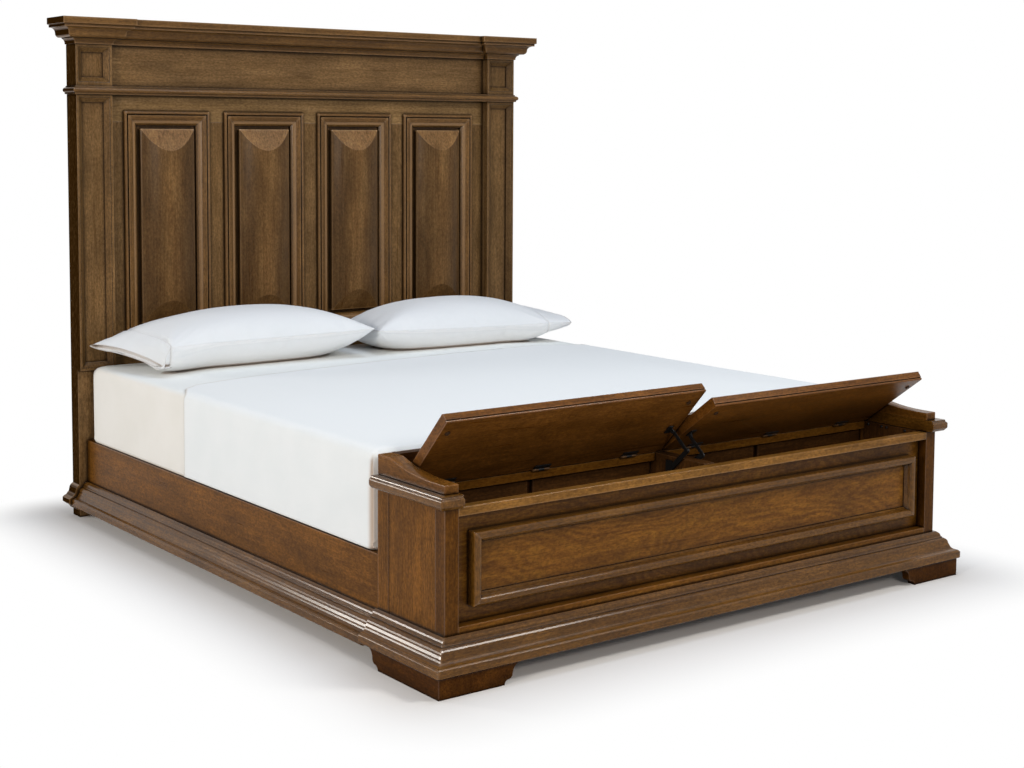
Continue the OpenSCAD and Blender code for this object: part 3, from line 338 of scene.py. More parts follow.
# Metal, rubber and nylon: two shades that meet in patches, and a pebbled coat where there is one.
def patchedMaterial(name, patchMm, detail, shades, shading, rough=0.5, patches=(0.0, 1.0), pebbled=False):
    material, tree = blankMaterial(name)
    place = addNode(tree, "ShaderNodeTexCoord", out="Object")
    looks = {"Vector": place, "Scale": 1000 / patchMm, "Detail": detail, "Roughness": rough}
    patch = addNode(tree, "ShaderNodeTexNoise", looks, out="Fac")
    share = addNode(tree, "ShaderNodeMapRange", (patch, *patches), out=0)
    low, high = (toLinear(shade) for shade in shades)
    colour = addNode(tree, "ShaderNodeMix", {0: share, 6: low, 7: high}, out=2, data_type="RGBA")
    if pebbled:
        pebble = {"Vector": place, "Scale": 1000 / pebbles["sizeMm"], "Detail": pebbles["detail"]}
        pebble = addNode(tree, "ShaderNodeTexNoise", pebble, out="Fac")
        raised = {"Height": pebble, "Distance": pebbles["depth"], "Strength": pebbles["strength"]}
        shading = {**shading, "Normal": addNode(tree, "ShaderNodeBump", raised, out=0)}
    shader = addNode(tree, "ShaderNodeBsdfPrincipled", {"Base Color": colour, **shading}, out=0)
    addNode(tree, "ShaderNodeOutputMaterial", {"Surface": shader})
    return material


cotton = {
    "threadMm": 2.5,  # real threads lie 0.4 mm apart; drawn coarse enough for a trace of weave
    "threadWander": 0.6,
    "threadDepth": 0.0002,
    "threadStrength": 0.25,
    "slack": {"Scale": 1000 / 160, "Detail": 3.0, "Roughness": 0.5},  # patches 160 mm wide
    "crease": {"Detail": 3.0, "Distortion": 0.8},
    "creaseDepth": 0.002,
    "creaseStrength": 0.5,
    "shading": {
        "Roughness": 0.88, "Sheen Weight": 0.12, "Sheen Roughness": 0.5, "Specular IOR Level": 0.25,
    },
    # each span is: value from, value to, share at either end
    "slackSpan": (0.35, 0.7, 0.0, 1.0),
    # painted light: faces that turn up take the top colour, a cooler white
    "topLightSpan": (0.55, 0.95, 0.0, 1.0),
    "hangingLightSpan": (-0.1, -0.7, 0.0, 1.0),
    "hangingLightColour": "#f6f8fa",
    "nookShadeReach": 0.1,  # metres; painted shade where parts close in and under things
    "nookShadeSpan": (0.4, 0.85, 0.14, 0.0),
    "nookShadeColour": "#b5a48e",
    # painted shade in the foot folds and along the hem
    "foldShadeColour": "#b39a82",
    # painted shade in creases, folds and along seams
    "seamShadeReach": 0.012,
    "seamShadeSpan": (0.45, 0.95, 0.75, 0.0),
    "seamShadeColour": "#9a8572",
}


# Cotton, woven: soft and dull, a little fuzz at grazing angles, slack places a shade greyer.
def wovenCotton(name, pale, shade, creaseMm, top=None):
    material, tree = blankMaterial(name)
    place = addNode(tree, "ShaderNodeTexCoord", out="Object")
    bands = 1000 / cotton["threadMm"] * 2 * math.pi / 20  # at scale 1 they lie 2 pi / 20 metres apart
    threads = {"Vector": place, "Scale": bands, "Distortion": cotton["threadWander"]}
    warp, weft = (
        addNode(tree, "ShaderNodeTexWave", threads, out="Fac", bands_direction=way) for way in ("X", "Y")
    )
    weave = addNode(tree, "ShaderNodeMath", (warp, weft), out=0, operation="MULTIPLY")
    slack = addNode(tree, "ShaderNodeTexNoise", {"Vector": place, **cotton["slack"]}, out="Fac")
    crease = {"Vector": place, "Scale": 1000 / creaseMm, **cotton["crease"]}
    crease = addNode(tree, "ShaderNodeTexNoise", crease, out="Fac")
    normal = addNode(tree, "ShaderNodeNewGeometry", out="True Normal")
    facing = addNode(tree, "ShaderNodeSeparateXYZ", (normal,), out=2)
    nook, seam = (
        addNode(tree, "ShaderNodeAmbientOcclusion", {"Distance": cotton[reach]}, out="AO", samples=4)
        for reach in ("nookShadeReach", "seamShadeReach")
    )
    fold = addNode(tree, "ShaderNodeAttribute", out="Fac", attribute_name="foldShade")
    colour = toLinear(pale)
    for value, span, tint in (
        (slack, cotton["slackSpan"], shade),
        # painted light: upward faces tinted a cooler white
        (facing, cotton["topLightSpan"], top or pale),
        (facing, cotton["hangingLightSpan"], cotton["hangingLightColour"]),  # painted light: faces that turn down are made paler, as if lit through from above
        # painted shade in nooks and under things
        (nook, cotton["nookShadeSpan"], cotton["nookShadeColour"]),
        (fold, (0.0, 1.0, 0.0, 1.0), cotton["foldShadeColour"]),
        # painted shade in creases and folds
        (seam, cotton["seamShadeSpan"], cotton["seamShadeColour"]),
    ):
        share = addNode(tree, "ShaderNodeMapRange", (value, *span), out=0)
        mixed = {0: share, 6: colour, 7: toLinear(tint)}
        colour = addNode(tree, "ShaderNodeMix", mixed, out=2, data_type="RGBA")
    threaded = {"Height": weave, "Distance": cotton["threadDepth"], "Strength": cotton["threadStrength"]}
    threaded = addNode(tree, "ShaderNodeBump", threaded, out=0)
    creased = {"Height": crease, "Distance": cotton["creaseDepth"], "Strength": cotton["creaseStrength"]}
    creased = addNode(tree, "ShaderNodeBump", {**creased, "Normal": threaded}, out=0)
    cloth = {"Base Color": colour, "Normal": creased, **cotton["shading"]}
    shader = addNode(tree, "ShaderNodeBsdfPrincipled", cloth, out=0)
    addNode(tree, "ShaderNodeOutputMaterial", {"Surface": shader})
    return material


headboard = {"lineMm": 11, "paleWearAndHighlight": 0.3, "paintedShadeEnds": True}
finishes = {
    "head": glazedWood("glazedBirchHeadboard", "head", figure=0.12, glazed=0.85, **headboard),
    "topRail": glazedWood("glazedBirchTopRailPaintedLight", "topRail", figure=0.12, glazed=0.8, **headboard),
    "stile": glazedWood("glazedBirchStile", "stile", figure=0.12, glazed=0.9, **headboard),
    "headMoulding": glazedWood(
        "glazedPoplarHeadMoulding", "headMoulding", figure=0.05, shine=0.3, gloss=0.15, lineMm=10, arrisMm=7,
        paleWearAndHighlight=0.5, wavy=0.12, paintedShadeEnds=True,
    ),
    "panel": glazedWood(
        "glazedBirchRaisedPanel", "panel", figure=0.12, lineMm=11, arrisMm=8, paleWearAndHighlight=0.55, paintedSlopeShading=True,
    ),
    "chest": glazedWood("glazedBirchChest", "chest", figure=0.16, gloss=0.06, brushedMm=50),
    "frontRail": glazedWood("glazedBirchFrontRail", "frontRail", figure=0.16, glazed=0.8),
    "moulding": glazedWood(
        "glazedPoplarMoulding", "moulding", figure=0.05, shine=0.18, gloss=0.22, lineMm=8, wavy=0.04,
    ),
    "post": glazedWood("glazedBirchPost", "post", figure=0.1, gloss=0.06),
    "galleryArm": glazedWood(
        "glazedPoplarArm", "side", figure=0.1, shine=0.24, gloss=0.08, arrisMm=5, paleWearAndHighlight=0.45, wavy=0.1,
    ),
    "foot": glazedWood("glazedBirchFoot", "foot", figure=0.1, gloss=0.03),
    "figured": glazedWood("glazedBirchPlainSawn", "chest", figure=0.5, glazed=1.25, brushedMm=110),
    "side": glazedWood("glazedBirchRail", "side", figure=0.2, gloss=0.05),
    "lid": glazedWood("glazedBirchLid", "lid", figure=0.25),
    "dark": glazedWood("glazedBirchDark", "dark", figure=0.2),
    "inside": glazedWood("stainedPlyInside", "inside", figure=0.2, glazed=0.7, shine=0.5),
    "slat": glazedWood("planedPoplar", "slat", figure=0.5, glazed=0.25, shine=0.6),
    # steel, powder-coated black: nearly even, with a fine pebbled bump and a soft grey shine
    "steel": patchedMaterial(
        "powderCoatedSteel", 30, 3.0, ("#0f1011", "#1c1d1f"), {"Roughness": 0.42, "Metallic": 0.35}, pebbled=True,
    ),
    # stamped steel leaves, plated and toned to an old dark bronze, rubbed brighter here and there
    "bronze": patchedMaterial(
        "tonedBronzePlate", 14, 4.0, ("#4a3013", "#6b4a24"), {"Roughness": 0.5, "Metallic": 0.2},
        rough=0.6, patches=(0.45, 0.75),
    ),
    # natural rubber, moulded: matt dark brown with a faint bloom
    "rubber": patchedMaterial(
        "mouldedRubber", 9, 3.0, ("#2b1b0d", "#3d2815"), {"Roughness": 0.75, "Specular IOR Level": 0.2},
    ),
    # nylon glides, moulded: dark, slightly waxy, scuffed by the floor
    "nylon": patchedMaterial("mouldedNylon", 6, 4.0, ("#2a2624", "#4a4440"), {"Roughness": 0.5}),
    # the fitted sheet's top colour is painted light, a cooler white where it faces up
    "fittedSheet": wovenCotton("wovenPercaleFittedSheet", "#e1e0dc", "#dddcd7", 90, top="#dfe4e5"),
    "flatSheet": wovenCotton("wovenPercaleFlatSheet", "#e1e6e9", "#dde3e6", 120),
    "pillowcase": wovenCotton("wovenPercalePillowcase", "#dce0e4", "#d8dde1", 45),
}
print("materials mixed:", len(finishes))


# the finish that each CAD node wears
worn = {
    "head": ["head_legs", "frieze_board"],
    "topRail": ["head_top_rail"],
    "stile": ["pilasters", "head_bottom_rail", "head_stiles"],
    "headMoulding": ["bead_rail", "crown_ends", "crown_centre", "panel_mouldings", "head_base_mouldings"],
    "panel": ["raised_panels"],
    "dark": ["head_back_panel", "head_cross_rail", "chest_back", "rear_blocks"],
    "side": ["side_rail_left", "side_rail_right", "rear_stiles", "end_panels"],
    "frontRail": ["front_top_rail"],
    "chest": ["front_bottom_rail", "hinge_rail"],
    "moulding": [
        "base_mouldings", "chest_plinth", "front_moulding", "arm_caps", "rail_moulding_left", "rail_moulding_right",
    ],
    "post": ["corner_posts"],
    "galleryArm": ["gallery_arms"],
    "foot": ["bracket_feet"],
    "figured": ["front_panel"],
    "lid": ["lid_left", "lid_right"],
    "inside": ["chest_floor", "chest_divider", "chest_liners"],
    "slat": ["slats", "centre_beam", "slat_ledgers", "centre_legs"],
    "nylon": ["leg_glides"],
    "steel": [
        "rail_brackets", "bolts", "lid_fittings_left", "lid_fittings_right", "stay_brackets",
        "stay_arm_left", "stay_arm_right", "stay_link_left", "stay_link_right",
    ],
    "bronze": ["hinge_leaves", "hinge_pins"],
    "rubber": ["bumpers_left", "bumpers_right"],
    "fittedSheet": ["mattress"],
    "flatSheet": ["flat_sheet"],
    "pillowcase": ["pillow_left", "pillow_right"],
}
# sanded arrises and deburred plate, in metres
easing = {
    "usual": 0.0014,
    "finishes": {"steel": 0.0004, "galleryArm": 0.0025, "side": 0.002, "moulding": 0.002},
    "nodes": {"arm_caps": 0.0042},  # a rounder nosing
    "left": ("rubber", "nylon", "bronze"),  # these stay as cut
    "angle": 38,  # degrees between faces, from which an edge is eased
    "panelAngle": 15,
    "weld": 0.00002,
}
softNodes = ("mattress", "flat_sheet", "pillow_left", "pillow_right")
boardGrain = boardGrainTree()
for finish, names in worn.items():
    for name in names:
        node = nodes[name]
        if not node.material_slots:
            node.data.materials.append(finishes[finish])
        for place in node.material_slots:
            place.material = finishes[finish]
        if name in softNodes or finish in easing["left"]:
            continue
        weld = node.modifiers.new("joinedFaces", "WELD")
        weld.merge_threshold = easing["weld"]
        eased = node.modifiers.new("easedEdges", "BEVEL")
        eased.width = easing["nodes"].get(name, easing["finishes"].get(finish, easing["usual"]))
        eased.segments = 3 if name in easing["nodes"] else 2
        eased.limit_method = "ANGLE"
        eased.angle_limit = math.radians(easing["panelAngle" if finish == "panel" else "angle"])
        eased.harden_normals = True
        if finish != "steel":
            node.modifiers.new("boardGrain", "NODES").node_group = boardGrain
missing = sorted(set(nodes) - {name for names in worn.values() for name in names})
print("nodes without a finish:", missing)


# floor, world and lamps
studio = {
    "floorReach": 30.0,
    "floorSides": 96,
    "floorGrey": "#e6e6e6",
    "floorLift": 0.02,
    "bedHalf": (1.05, 1.27, 0),
    "shadowReach": (0.04, 0.4),  # metres out from the bed; beyond it the sweep is plain white
    "ambient": 0.32,
    "ambientTint": "#f0f5ff",
    "lamps": {
        # name: place, aim, size, watts, spread in degrees, colour
        "frontSoftbox": ((-1.6, -6.0, 2.7), (0, 0.4, 0.9), 0.9, 90, 180, "#fff6ea"),
        "sideSoftbox": ((-5.2, -2.2, 1.9), (-1.0, 0.1, 0.45), 0.8, 60, 140, "#fff4e6"),
        "overheadPanel": ((0.2, -0.6, 4.6), (0, 0.2, 0.3), 2.0, 60, 170, "#e6f1ff"),
        # these two draw the shine along the left side and along the front
        "leftStrip": ((-4.0, 3.4, 1.5), (-1.0, -0.6, 0.2), 1.0, 30, 120, "#fffaf2"),
        "rightKicker": ((3.0, -4.4, 5.0), (0.0, -0.8, 0.3), 1.3, 66, 120, "#fffaf2"),
    },
}


# 1 where floor or world is looked at: straight, in a shine or through glass
def lookedAt(tree):
    path = addNode(tree, "ShaderNodeLightPath")
    seen = path.outputs["Is Camera Ray"]
    for ray in ("Is Glossy Ray", "Is Transmission Ray"):
        seen = addNode(tree, "ShaderNodeMath", (seen, path.outputs[ray]), out=0, operation="MAXIMUM")
    return seen


# A paper sweep: even and matt; open floor reads as white, and it keeps the bed's shadow.
def paperSweep():
    material, tree = blankMaterial("paintedPaperSweep")
    seen = lookedAt(tree)
    matt = addNode(tree, "ShaderNodeBsdfDiffuse", {"Color": toLinear(studio["floorGrey"])}, out=0)
    white = (1, 1, 1, 1)
    lift = addNode(tree, "ShaderNodeEmission", (white, studio["floorLift"]), out=0)
    lifted = addNode(tree, "ShaderNodeAddShader", (matt, lift), out=0)
    sweep = addNode(tree, "ShaderNodeMixShader", (seen, matt, lifted), out=0)
    # far from the bed the sweep runs out into plain white
    place = addNode(tree, "ShaderNodeTexCoord", out="Object")
    place = addNode(tree, "ShaderNodeVectorMath", (place,), out=0, operation="ABSOLUTE")
    beyond = addNode(tree, "ShaderNodeVectorMath", (place, studio["bedHalf"]), out=0, operation="SUBTRACT")
    beyond = addNode(tree, "ShaderNodeVectorMath", (beyond, (0, 0, 0)), out=0, operation="MAXIMUM")
    away = addNode(tree, "ShaderNodeVectorMath", (beyond,), out="Value", operation="LENGTH")
    reach = (away, *studio["shadowReach"])
    faded = addNode(tree, "ShaderNodeMapRange", reach, out=0, interpolation_type="SMOOTHSTEP")
    faded = addNode(tree, "ShaderNodeMath", (faded, seen), out=0, operation="MULTIPLY")
    plain = addNode(tree, "ShaderNodeEmission", (white, 1.0), out=0)
    surface = addNode(tree, "ShaderNodeMixShader", (faded, sweep, plain), out=0)
    addNode(tree, "ShaderNodeOutputMaterial", {"Surface": surface})
    return material


mesh = bpy.data.meshes.new("studioFloor")
form = bmesh.new()
bmesh.ops.create_circle(form, cap_ends=True, segments=studio["floorSides"], radius=studio["floorReach"])
form.to_mesh(mesh)
form.free()
mesh.materials.append(paperSweep())
floor = bpy.data.objects.new("studioFloor", mesh)
scene.collection.objects.link(floor)

world = bpy.data.worlds.new("studioWhite")
scene.world = world
world.use_nodes = True
worldTree = world.node_tree
worldTree.nodes.clear()
seen = lookedAt(worldTree)
strength = addNode(worldTree, "ShaderNodeMapRange", {"Value": seen, 3: studio["ambient"], 4: 1.0}, out=0)
tint = {0: seen, 6: toLinear(studio["ambientTint"]), 7: (1, 1, 1, 1)}
tint = addNode(worldTree, "ShaderNodeMix", tint, out=2, data_type="RGBA")
backdrop = addNode(worldTree, "ShaderNodeBackground", {"Color": tint, "Strength": strength}, out=0)
addNode(worldTree, "ShaderNodeOutputWorld", {"Surface": backdrop})

for name, (place, aim, size, watts, spread, colour) in studio["lamps"].items():
    lamp = bpy.data.lights.new(name, "AREA")
    lamp.shape = "DISK"
    lamp.size = size
    lamp.energy = watts
    lamp.spread = math.radians(spread)
    lamp.color = toLinear(colour)[:3]
    holder = bpy.data.objects.new(name, lamp)
    scene.collection.objects.link(holder)
    holder.location = place
    holder.rotation_euler = (Vector(aim) - Vector(place)).to_track_quat("-Z", "Y").to_euler()
scene.view_settings.view_transform = "Standard"
print("studio lit")


# helpers for the bedding
def meshObject(name, mesh):
    piece = bpy.data.objects.new(name, mesh)
    scene.collection.objects.link(piece)
    return piece


def applyModifiers(piece):
    bpy.context.view_layer.update()
    mesh = bpy.data.meshes.new_from_object(piece.evaluated_get(bpy.context.evaluated_depsgraph_get()))
    piece.modifiers.clear()
    piece.data = mesh


def cutMesh(form, place, away, remove=False):
    whole = form.verts[:] + form.edges[:] + form.faces[:]
    bmesh.ops.bisect_plane(form, geom=whole, dist=1e-6, plane_co=place, plane_no=away, clear_outer=remove)


def readPoints(mesh):
    points = np.zeros(len(mesh.vertices) * 3)
    mesh.vertices.foreach_get("co", points)
    return points.reshape(-1, 3)


def writePoints(mesh, points):
    mesh.vertices.foreach_set("co", points.ravel())
    mesh.update()


def readNormals(mesh):
    normals = np.zeros(len(mesh.vertices) * 3)
    mesh.vertex_normals.foreach_get("vector", normals)
    return normals.reshape(-1, 3)


def readShare(mesh, label):
    values = np.zeros(len(mesh.vertices))
    mesh.attributes[label].data.foreach_get("value", values)
    return values


# slow noise between -1 and 1
def waves(points, sizesMm, seed):
    shift = Vector((seed, 2.3 * seed, -seed))
    return np.array([noise.noise(Vector(p) + shift) for p in points * 1000 / np.array(sizesMm)])


def ramped(value, low, high):
    share = np.clip((value - low) / (high - low), 0, 1)
    return share * share * (3 - 2 * share)


def bell(value, middle, width):
    return np.exp(-(((value - middle) / width) ** 2))


def wear(piece, finish, body):
    piece.data.materials.clear()
    piece.data.materials.append(finishes[finish])
    piece.data.shade_smooth()
    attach(piece, body)


mattressLook = {
    "voxel": 0.010,
    "smoothings": 3,
    "railZ": 0.2981,  # above this it swells over the rails
    "railCut": 0.0003,  # the mesh is cut this far under and over that height
    "swelling": (-0.004, 0.03),  # heights from the rails' top between which it moves out
    "swellBand": 0.03,
    "halfUnder": 0.965,
    "halfOver": 0.984,
    "corner": 0.04,
    "squareness": 5,  # 2 would be a round corner
    "squareOver": 0.01,
    "edgeZ": 0.5884,  # top of the sides, metres
    "crown": 0.010,
    "crownReach": (0.02, 0.34),
    "crownUnder": 0.0004,
    "topNormal": (0.9, 0.99),
    "topInward": (0.022, 0.06),
    "slackMm": 0.9,  # slow waves of the fitted sheet
    "topWaves": ((260, 260, 260), 3.1),  # sizes in mm, seed
    "topSlack": 0.8,
    "sideWaves": ((90, 90, 420), 5.7),
    "slackOver": 0.31,
    "topRoom": 0.002,  # how far slack may rise over the CAD top
}


def fittedMattress():
    look = mattressLook
    low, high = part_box("mattress")
    piece = meshObject("fittedMattress", nodes["mattress"].data.copy())
    remesh = piece.modifiers.new("evenQuads", "REMESH")
    remesh.mode = "VOXEL"
    remesh.voxel_size = look["voxel"]
    piece.modifiers.new("softened", "SMOOTH").iterations = look["smoothings"]
    applyModifiers(piece)
    form = bmesh.new()
    form.from_mesh(piece.data)
    for z in (look["railZ"] - look["railCut"], look["railZ"] + look["railCut"]):
        cutMesh(form, (0, 0, z), (0, 0, 1))
    form.to_mesh(piece.data)
    form.free()
    points = readPoints(piece.data)
    x, y, z = points.T  # views, so they follow the points
    # it swells out as soon as it clears the rails
    narrow = look["halfOver"] - look["halfUnder"]
    swelling = ramped(z, *(look["railZ"] + step for step in look["swelling"]))
    over = (z > look["railZ"]) * (np.abs(x) > look["halfUnder"] - look["swellBand"])
    x += np.sign(x) * narrow * (1 - swelling) * over
    under = z <= look["railZ"]
    x[under] = np.clip(x[under], -look["halfUnder"], look["halfUnder"])
    # the fitted sheet's corner seams are drawn nearly square
    pastSide = (np.abs(x) - high.x) / look["corner"] + 1
    pastEnd = np.where(y > 0, y - high.y, low.y - y) / look["corner"] + 1
    around, power = np.hypot(pastSide, pastEnd), look["squareness"]
    squarer = 1 / (np.abs(pastSide / around) ** power + np.abs(pastEnd / around) ** power) ** (1 / power) - 1
    squarer *= (pastSide > 0) * (pastEnd > 0) * ramped(z, look["railZ"], look["railZ"] + look["squareOver"])
    x += np.sign(x) * pastSide * squarer * look["corner"]
    y += np.sign(y) * pastEnd * squarer * look["corner"]
    writePoints(piece.data, points)
    normals = readNormals(piece.data)
    # a low even crown
    inward = np.minimum(np.minimum(x - low.x, high.x - x), np.minimum(y - low.y, high.y - y))
    crowned = look["edgeZ"] + look["crown"] * ramped(inward, *look["crownReach"]) - look["crownUnder"]
    z += (crowned - z) * ramped(normals[:, 2], *look["topNormal"]) * ramped(inward, *look["topInward"])
    # the fitted sheet lies slack on top and is drawn down the sides
    side = 1 - np.clip(np.abs(normals[:, 2]), 0, 1)
    onTop, down = waves(points, *look["topWaves"]), waves(points, *look["sideWaves"])
    slack = onTop * (1 - side) * look["topSlack"] + down * side
    points += normals * (slack * look["slackMm"] / 1000)[:, None] * (z > look["slackOver"])[:, None]
    points = np.clip(points, tuple(low), (high.x, high.y, high.z + look["topRoom"]))
    writePoints(piece.data, points)
    wear(piece, "fittedSheet", "root")
    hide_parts("mattress")
    return piece


sheetLook = {
    "clear": 0.0036,  # outer face over the mattress, metres
    "thick": 0.0012,
    "lowZ": 0.2996,  # tucked in just over the rails
    # the hem as it lies: across the bed, along the bed
    "hem": [
        (-1.0, 0.37), (-0.975, 0.385), (-0.945, 0.45), (-0.88, 0.5), (-0.7, 0.513), (-0.44, 0.55),
        (-0.06, 0.595), (0.3, 0.62), (0.8, 0.63), (0.95, 0.6), (1.0, 0.56),
    ],
    "hemWidth": 0.028,
    "hemLayer": 0.0007,  # the folded hem is a second layer
    "hemRunOut": 0.006,
    "stitchIn": 0.002,  # from the edge of that layer
    "stitchWidth": 0.0035,
    "stitchDepth": 0.0006,
    # painted shadow along the hem's edge
    "hemShade": 0.45,
    "hemShadeWidth": 0.004,
    # sizes in mm, seed, height in metres
    "slack": [((330, 210, 300), 8.3, 0.0011), ((160, 420, 500), 2.9, 0.0005)],
    "leastSlack": -0.0008,
}
# the fold at each foot corner: a hollow that runs up to a point, with a lip behind it, and painted shade in the
# hollow
footFold = {
    "from": -0.852,  # the mesh is finer here
    "to": -0.806,
    "step": 0.0025,
    "side": 0.97,
    "lipY": -0.8425,
    "lip": 0.0065,
    "lipWidth": 0.0045,
    "hollowY": -0.8345,
    "hollow": 0.0024,
    "hollowWidth": (0.0025, 0.006),  # at the top and at the bottom
    "widens": (-0.578, -0.45),
    "opens": (-0.58, -0.545),
    "shade": 0.8,
    "shadeWidth": 2.2,  # times the hollow's width
}


def sheetHem(x):
    return np.interp(x, *zip(*sheetLook["hem"]))


def flatSheet(mattress):
    look, fold = sheetLook, footFold
    form = bmesh.new()
    form.from_mesh(mattress.data)
    # the cloth is shifted so that its hem is straight for the cut, and back again
    for vertex in form.verts:
        vertex.co.y -= sheetHem(vertex.co.x)
    cutMesh(form, (0, 0, 0), (0, 1, 0), remove=True)
    cutMesh(form, (0, 0, look["lowZ"]), (0, 0, -1), remove=True)
    for vertex in form.verts:
        vertex.co.y += sheetHem(vertex.co.x)
    for y in np.arange(fold["from"], fold["to"], fold["step"]):
        cutMesh(form, (0, y, 0), (0, 1, 0))
    mesh = bpy.data.meshes.new("flatSheet")
    form.to_mesh(mesh)
    form.free()
    piece = meshObject("flatSheet", mesh)
    points = readPoints(mesh)
    normals = readNormals(mesh)
    x, y, z = points.T
    fromHem = sheetHem(x) - y
    layer = look["hemLayer"] * (1 - ramped(fromHem, look["hemWidth"], look["hemWidth"] + look["hemRunOut"]))
    stitched = look["stitchDepth"] * bell(fromHem, look["hemWidth"] - look["stitchIn"], look["stitchWidth"])
    # it lies a little uneven
    top = np.clip(normals[:, 2], 0, 1)
    slack = sum(waves(points, sizes, seed) * top * height for sizes, seed, height in look["slack"])
    out = look["clear"] + layer - stitched + np.maximum(slack, look["leastSlack"])
    points += normals * out[:, None]
    narrow, wide = fold["hollowWidth"]
    width = narrow + (wide - narrow) * ramped(-z, *fold["widens"])
    lip = fold["lip"] * bell(y, fold["lipY"], fold["lipWidth"])
    hollow = fold["hollow"] * bell(y, fold["hollowY"], width)
    down = ramped(-z, *fold["opens"]) * (np.abs(x) > fold["side"])
    x += np.sign(x) * (lip - hollow) * down
    writePoints(mesh, points)
    # painted shade: a thin shadow line at the hem's edge and a warm shadow in the foot fold's hollow
    paintedFoldShade = look["hemShade"] * bell(fromHem, 0, look["hemShadeWidth"])
    paintedFoldShade += bell(y, fold["hollowY"], width * fold["shadeWidth"]) * down * fold["shade"]
    mesh.attributes.new("foldShade", "FLOAT", "POINT").data.foreach_set("value", paintedFoldShade)
    thick = piece.modifiers.new("clothThickness", "SOLIDIFY")
    thick.thickness = look["thick"]
    thick.offset = -1
    applyModifiers(piece)
    wear(piece, "flatSheet", "root")
    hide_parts("flat_sheet")
    return piece


pillowLook = {
    "columns": 104,
    "evenColumns": 0.5,  # share of an even spacing; the rest draws them to the closed end
    "rows": 46,
    "evenRows": 0.15,  # the rest draws them to the seams
    "hemAt": 0.86,  # share of the length, from the closed end to the mouth of the case
    "hemColumns": (-0.009, -0.006, -0.003, 0, 0.003, 0.006),
    "hemThick": 0.3,  # share of the full height there
    "pocket": 0.03,
    "drawnIn": 0.024,  # the filling draws in the closed end
    "drawnInReach": 0.35,
    "under": 0.122,  # how far the underside hangs below the seam
    # how the height rounds off, as powers: the smaller, the blunter
    "topRim": 0.5,
    "topEnd": 0.62,
    "bellyEnd": 0.32,
    "underRim": 0.52,
    "underRimEases": 0.27,  # near the hem the underside drops more steeply from the seam
    "underRimSpan": (0.68, 0.86),
    "falls": (2.4, 0.6),  # from the middle to the hem
    "mouthRim": 8,
    "mouthUp": 0.4,  # share of the mouth's gap over the seam; the rest lies under it
    "fullerSpan": (-0.3, 0.6),
    "heldSeam": 0.5,
    "heldBand": 0.3,
    "frames": 20,
    "mostMove": 0.012,
    "cloth": {
        "quality": 6,
        "mass": 0.25,
        "tension_stiffness": 14,
        "compression_stiffness": 14,
        "bending_stiffness": 0.4,
        "use_pressure": True,
        "uniform_pressure_force": 4.0,
    },
    "hemStitch": (0.0, 0.0045, -3.0),  # place from the hem and width as shares of the length, height in mm
    "hemRidge": (0.01, 0.006, 1.2),
    "seamMm": 3.0,  # the side seam stands out as a narrow lip
    "filledTo": (-0.02, 0.06),  # from the hem
    # waves: sizes in mm, seed
    "puckerMm": 2.4,
    "sidePuckers": ((30, 260, 70), 4.2),
    "sideSpan": (0.72, 0.99),
    "endPuckers": ((240, 40, 70), 7.7),
    "endSpan": (0.02, 0.16),
    "dentMm": 2.2,
    "dents": ((230, 170, 160), 1.9),
    "looseMm": 3.0,  # the empty band past the hem
    "loose": ((90, 60, 60), 6.1),
    "over": 0.0008,  # metres over the bed
    "lookFrom": 2.0,
}
# the seam as it lies: share of the length, front (x, y, z) and back (x, y, z)
pillowPlan = {
    "pillow_left": {
        "crown": 0.096,
        "mouth": 0.022,  # gap between the layers at the mouth, metres
        "lifted": 0.016,  # how far the mouth bows up in its middle
        "fullUnder": 0.8,  # how full the underside stays at the hem's front corner
        "seam": [
            (0.0, (-0.012, 0.715, 0.713), (0.045, 1.172, 0.668)),
            (0.12, (-0.13, 0.722, 0.708), (-0.07, 1.168, 0.685)),
            (0.5, (-0.46, 0.73, 0.7045), (-0.42, 1.16, 0.7)),
            (0.75, (-0.72, 0.722, 0.705), (-0.68, 1.168, 0.7)),
            (0.86, (-0.878, 0.715, 0.702), (-0.865, 1.176, 0.698)),
            (0.93, (-0.897, 0.714, 0.668), (-0.93, 1.178, 0.685)),
            (1.0, (-0.9, 0.722, 0.627), (-0.996, 1.178, 0.668)),
        ],
    },
    "pillow_right": {
        "crown": 0.088,
        "mouth": 0.05,
        "lifted": 0.0,
        "fullUnder": 0.35,
        "seam": [
            (0.0, (0.014, 0.72, 0.7), (0.078, 1.163, 0.668)),
            (0.12, (0.13, 0.728, 0.693), (0.19, 1.158, 0.685)),
            (0.5, (0.47, 0.737, 0.68), (0.51, 1.152, 0.7)),
            (0.75, (0.72, 0.732, 0.676), (0.75, 1.158, 0.698)),
            (0.86, (0.872, 0.727, 0.676), (0.885, 1.162, 0.702)),
            (1.0, (1.0, 0.735, 0.67), (1.012, 1.16, 0.695)),
        ],
    },
}


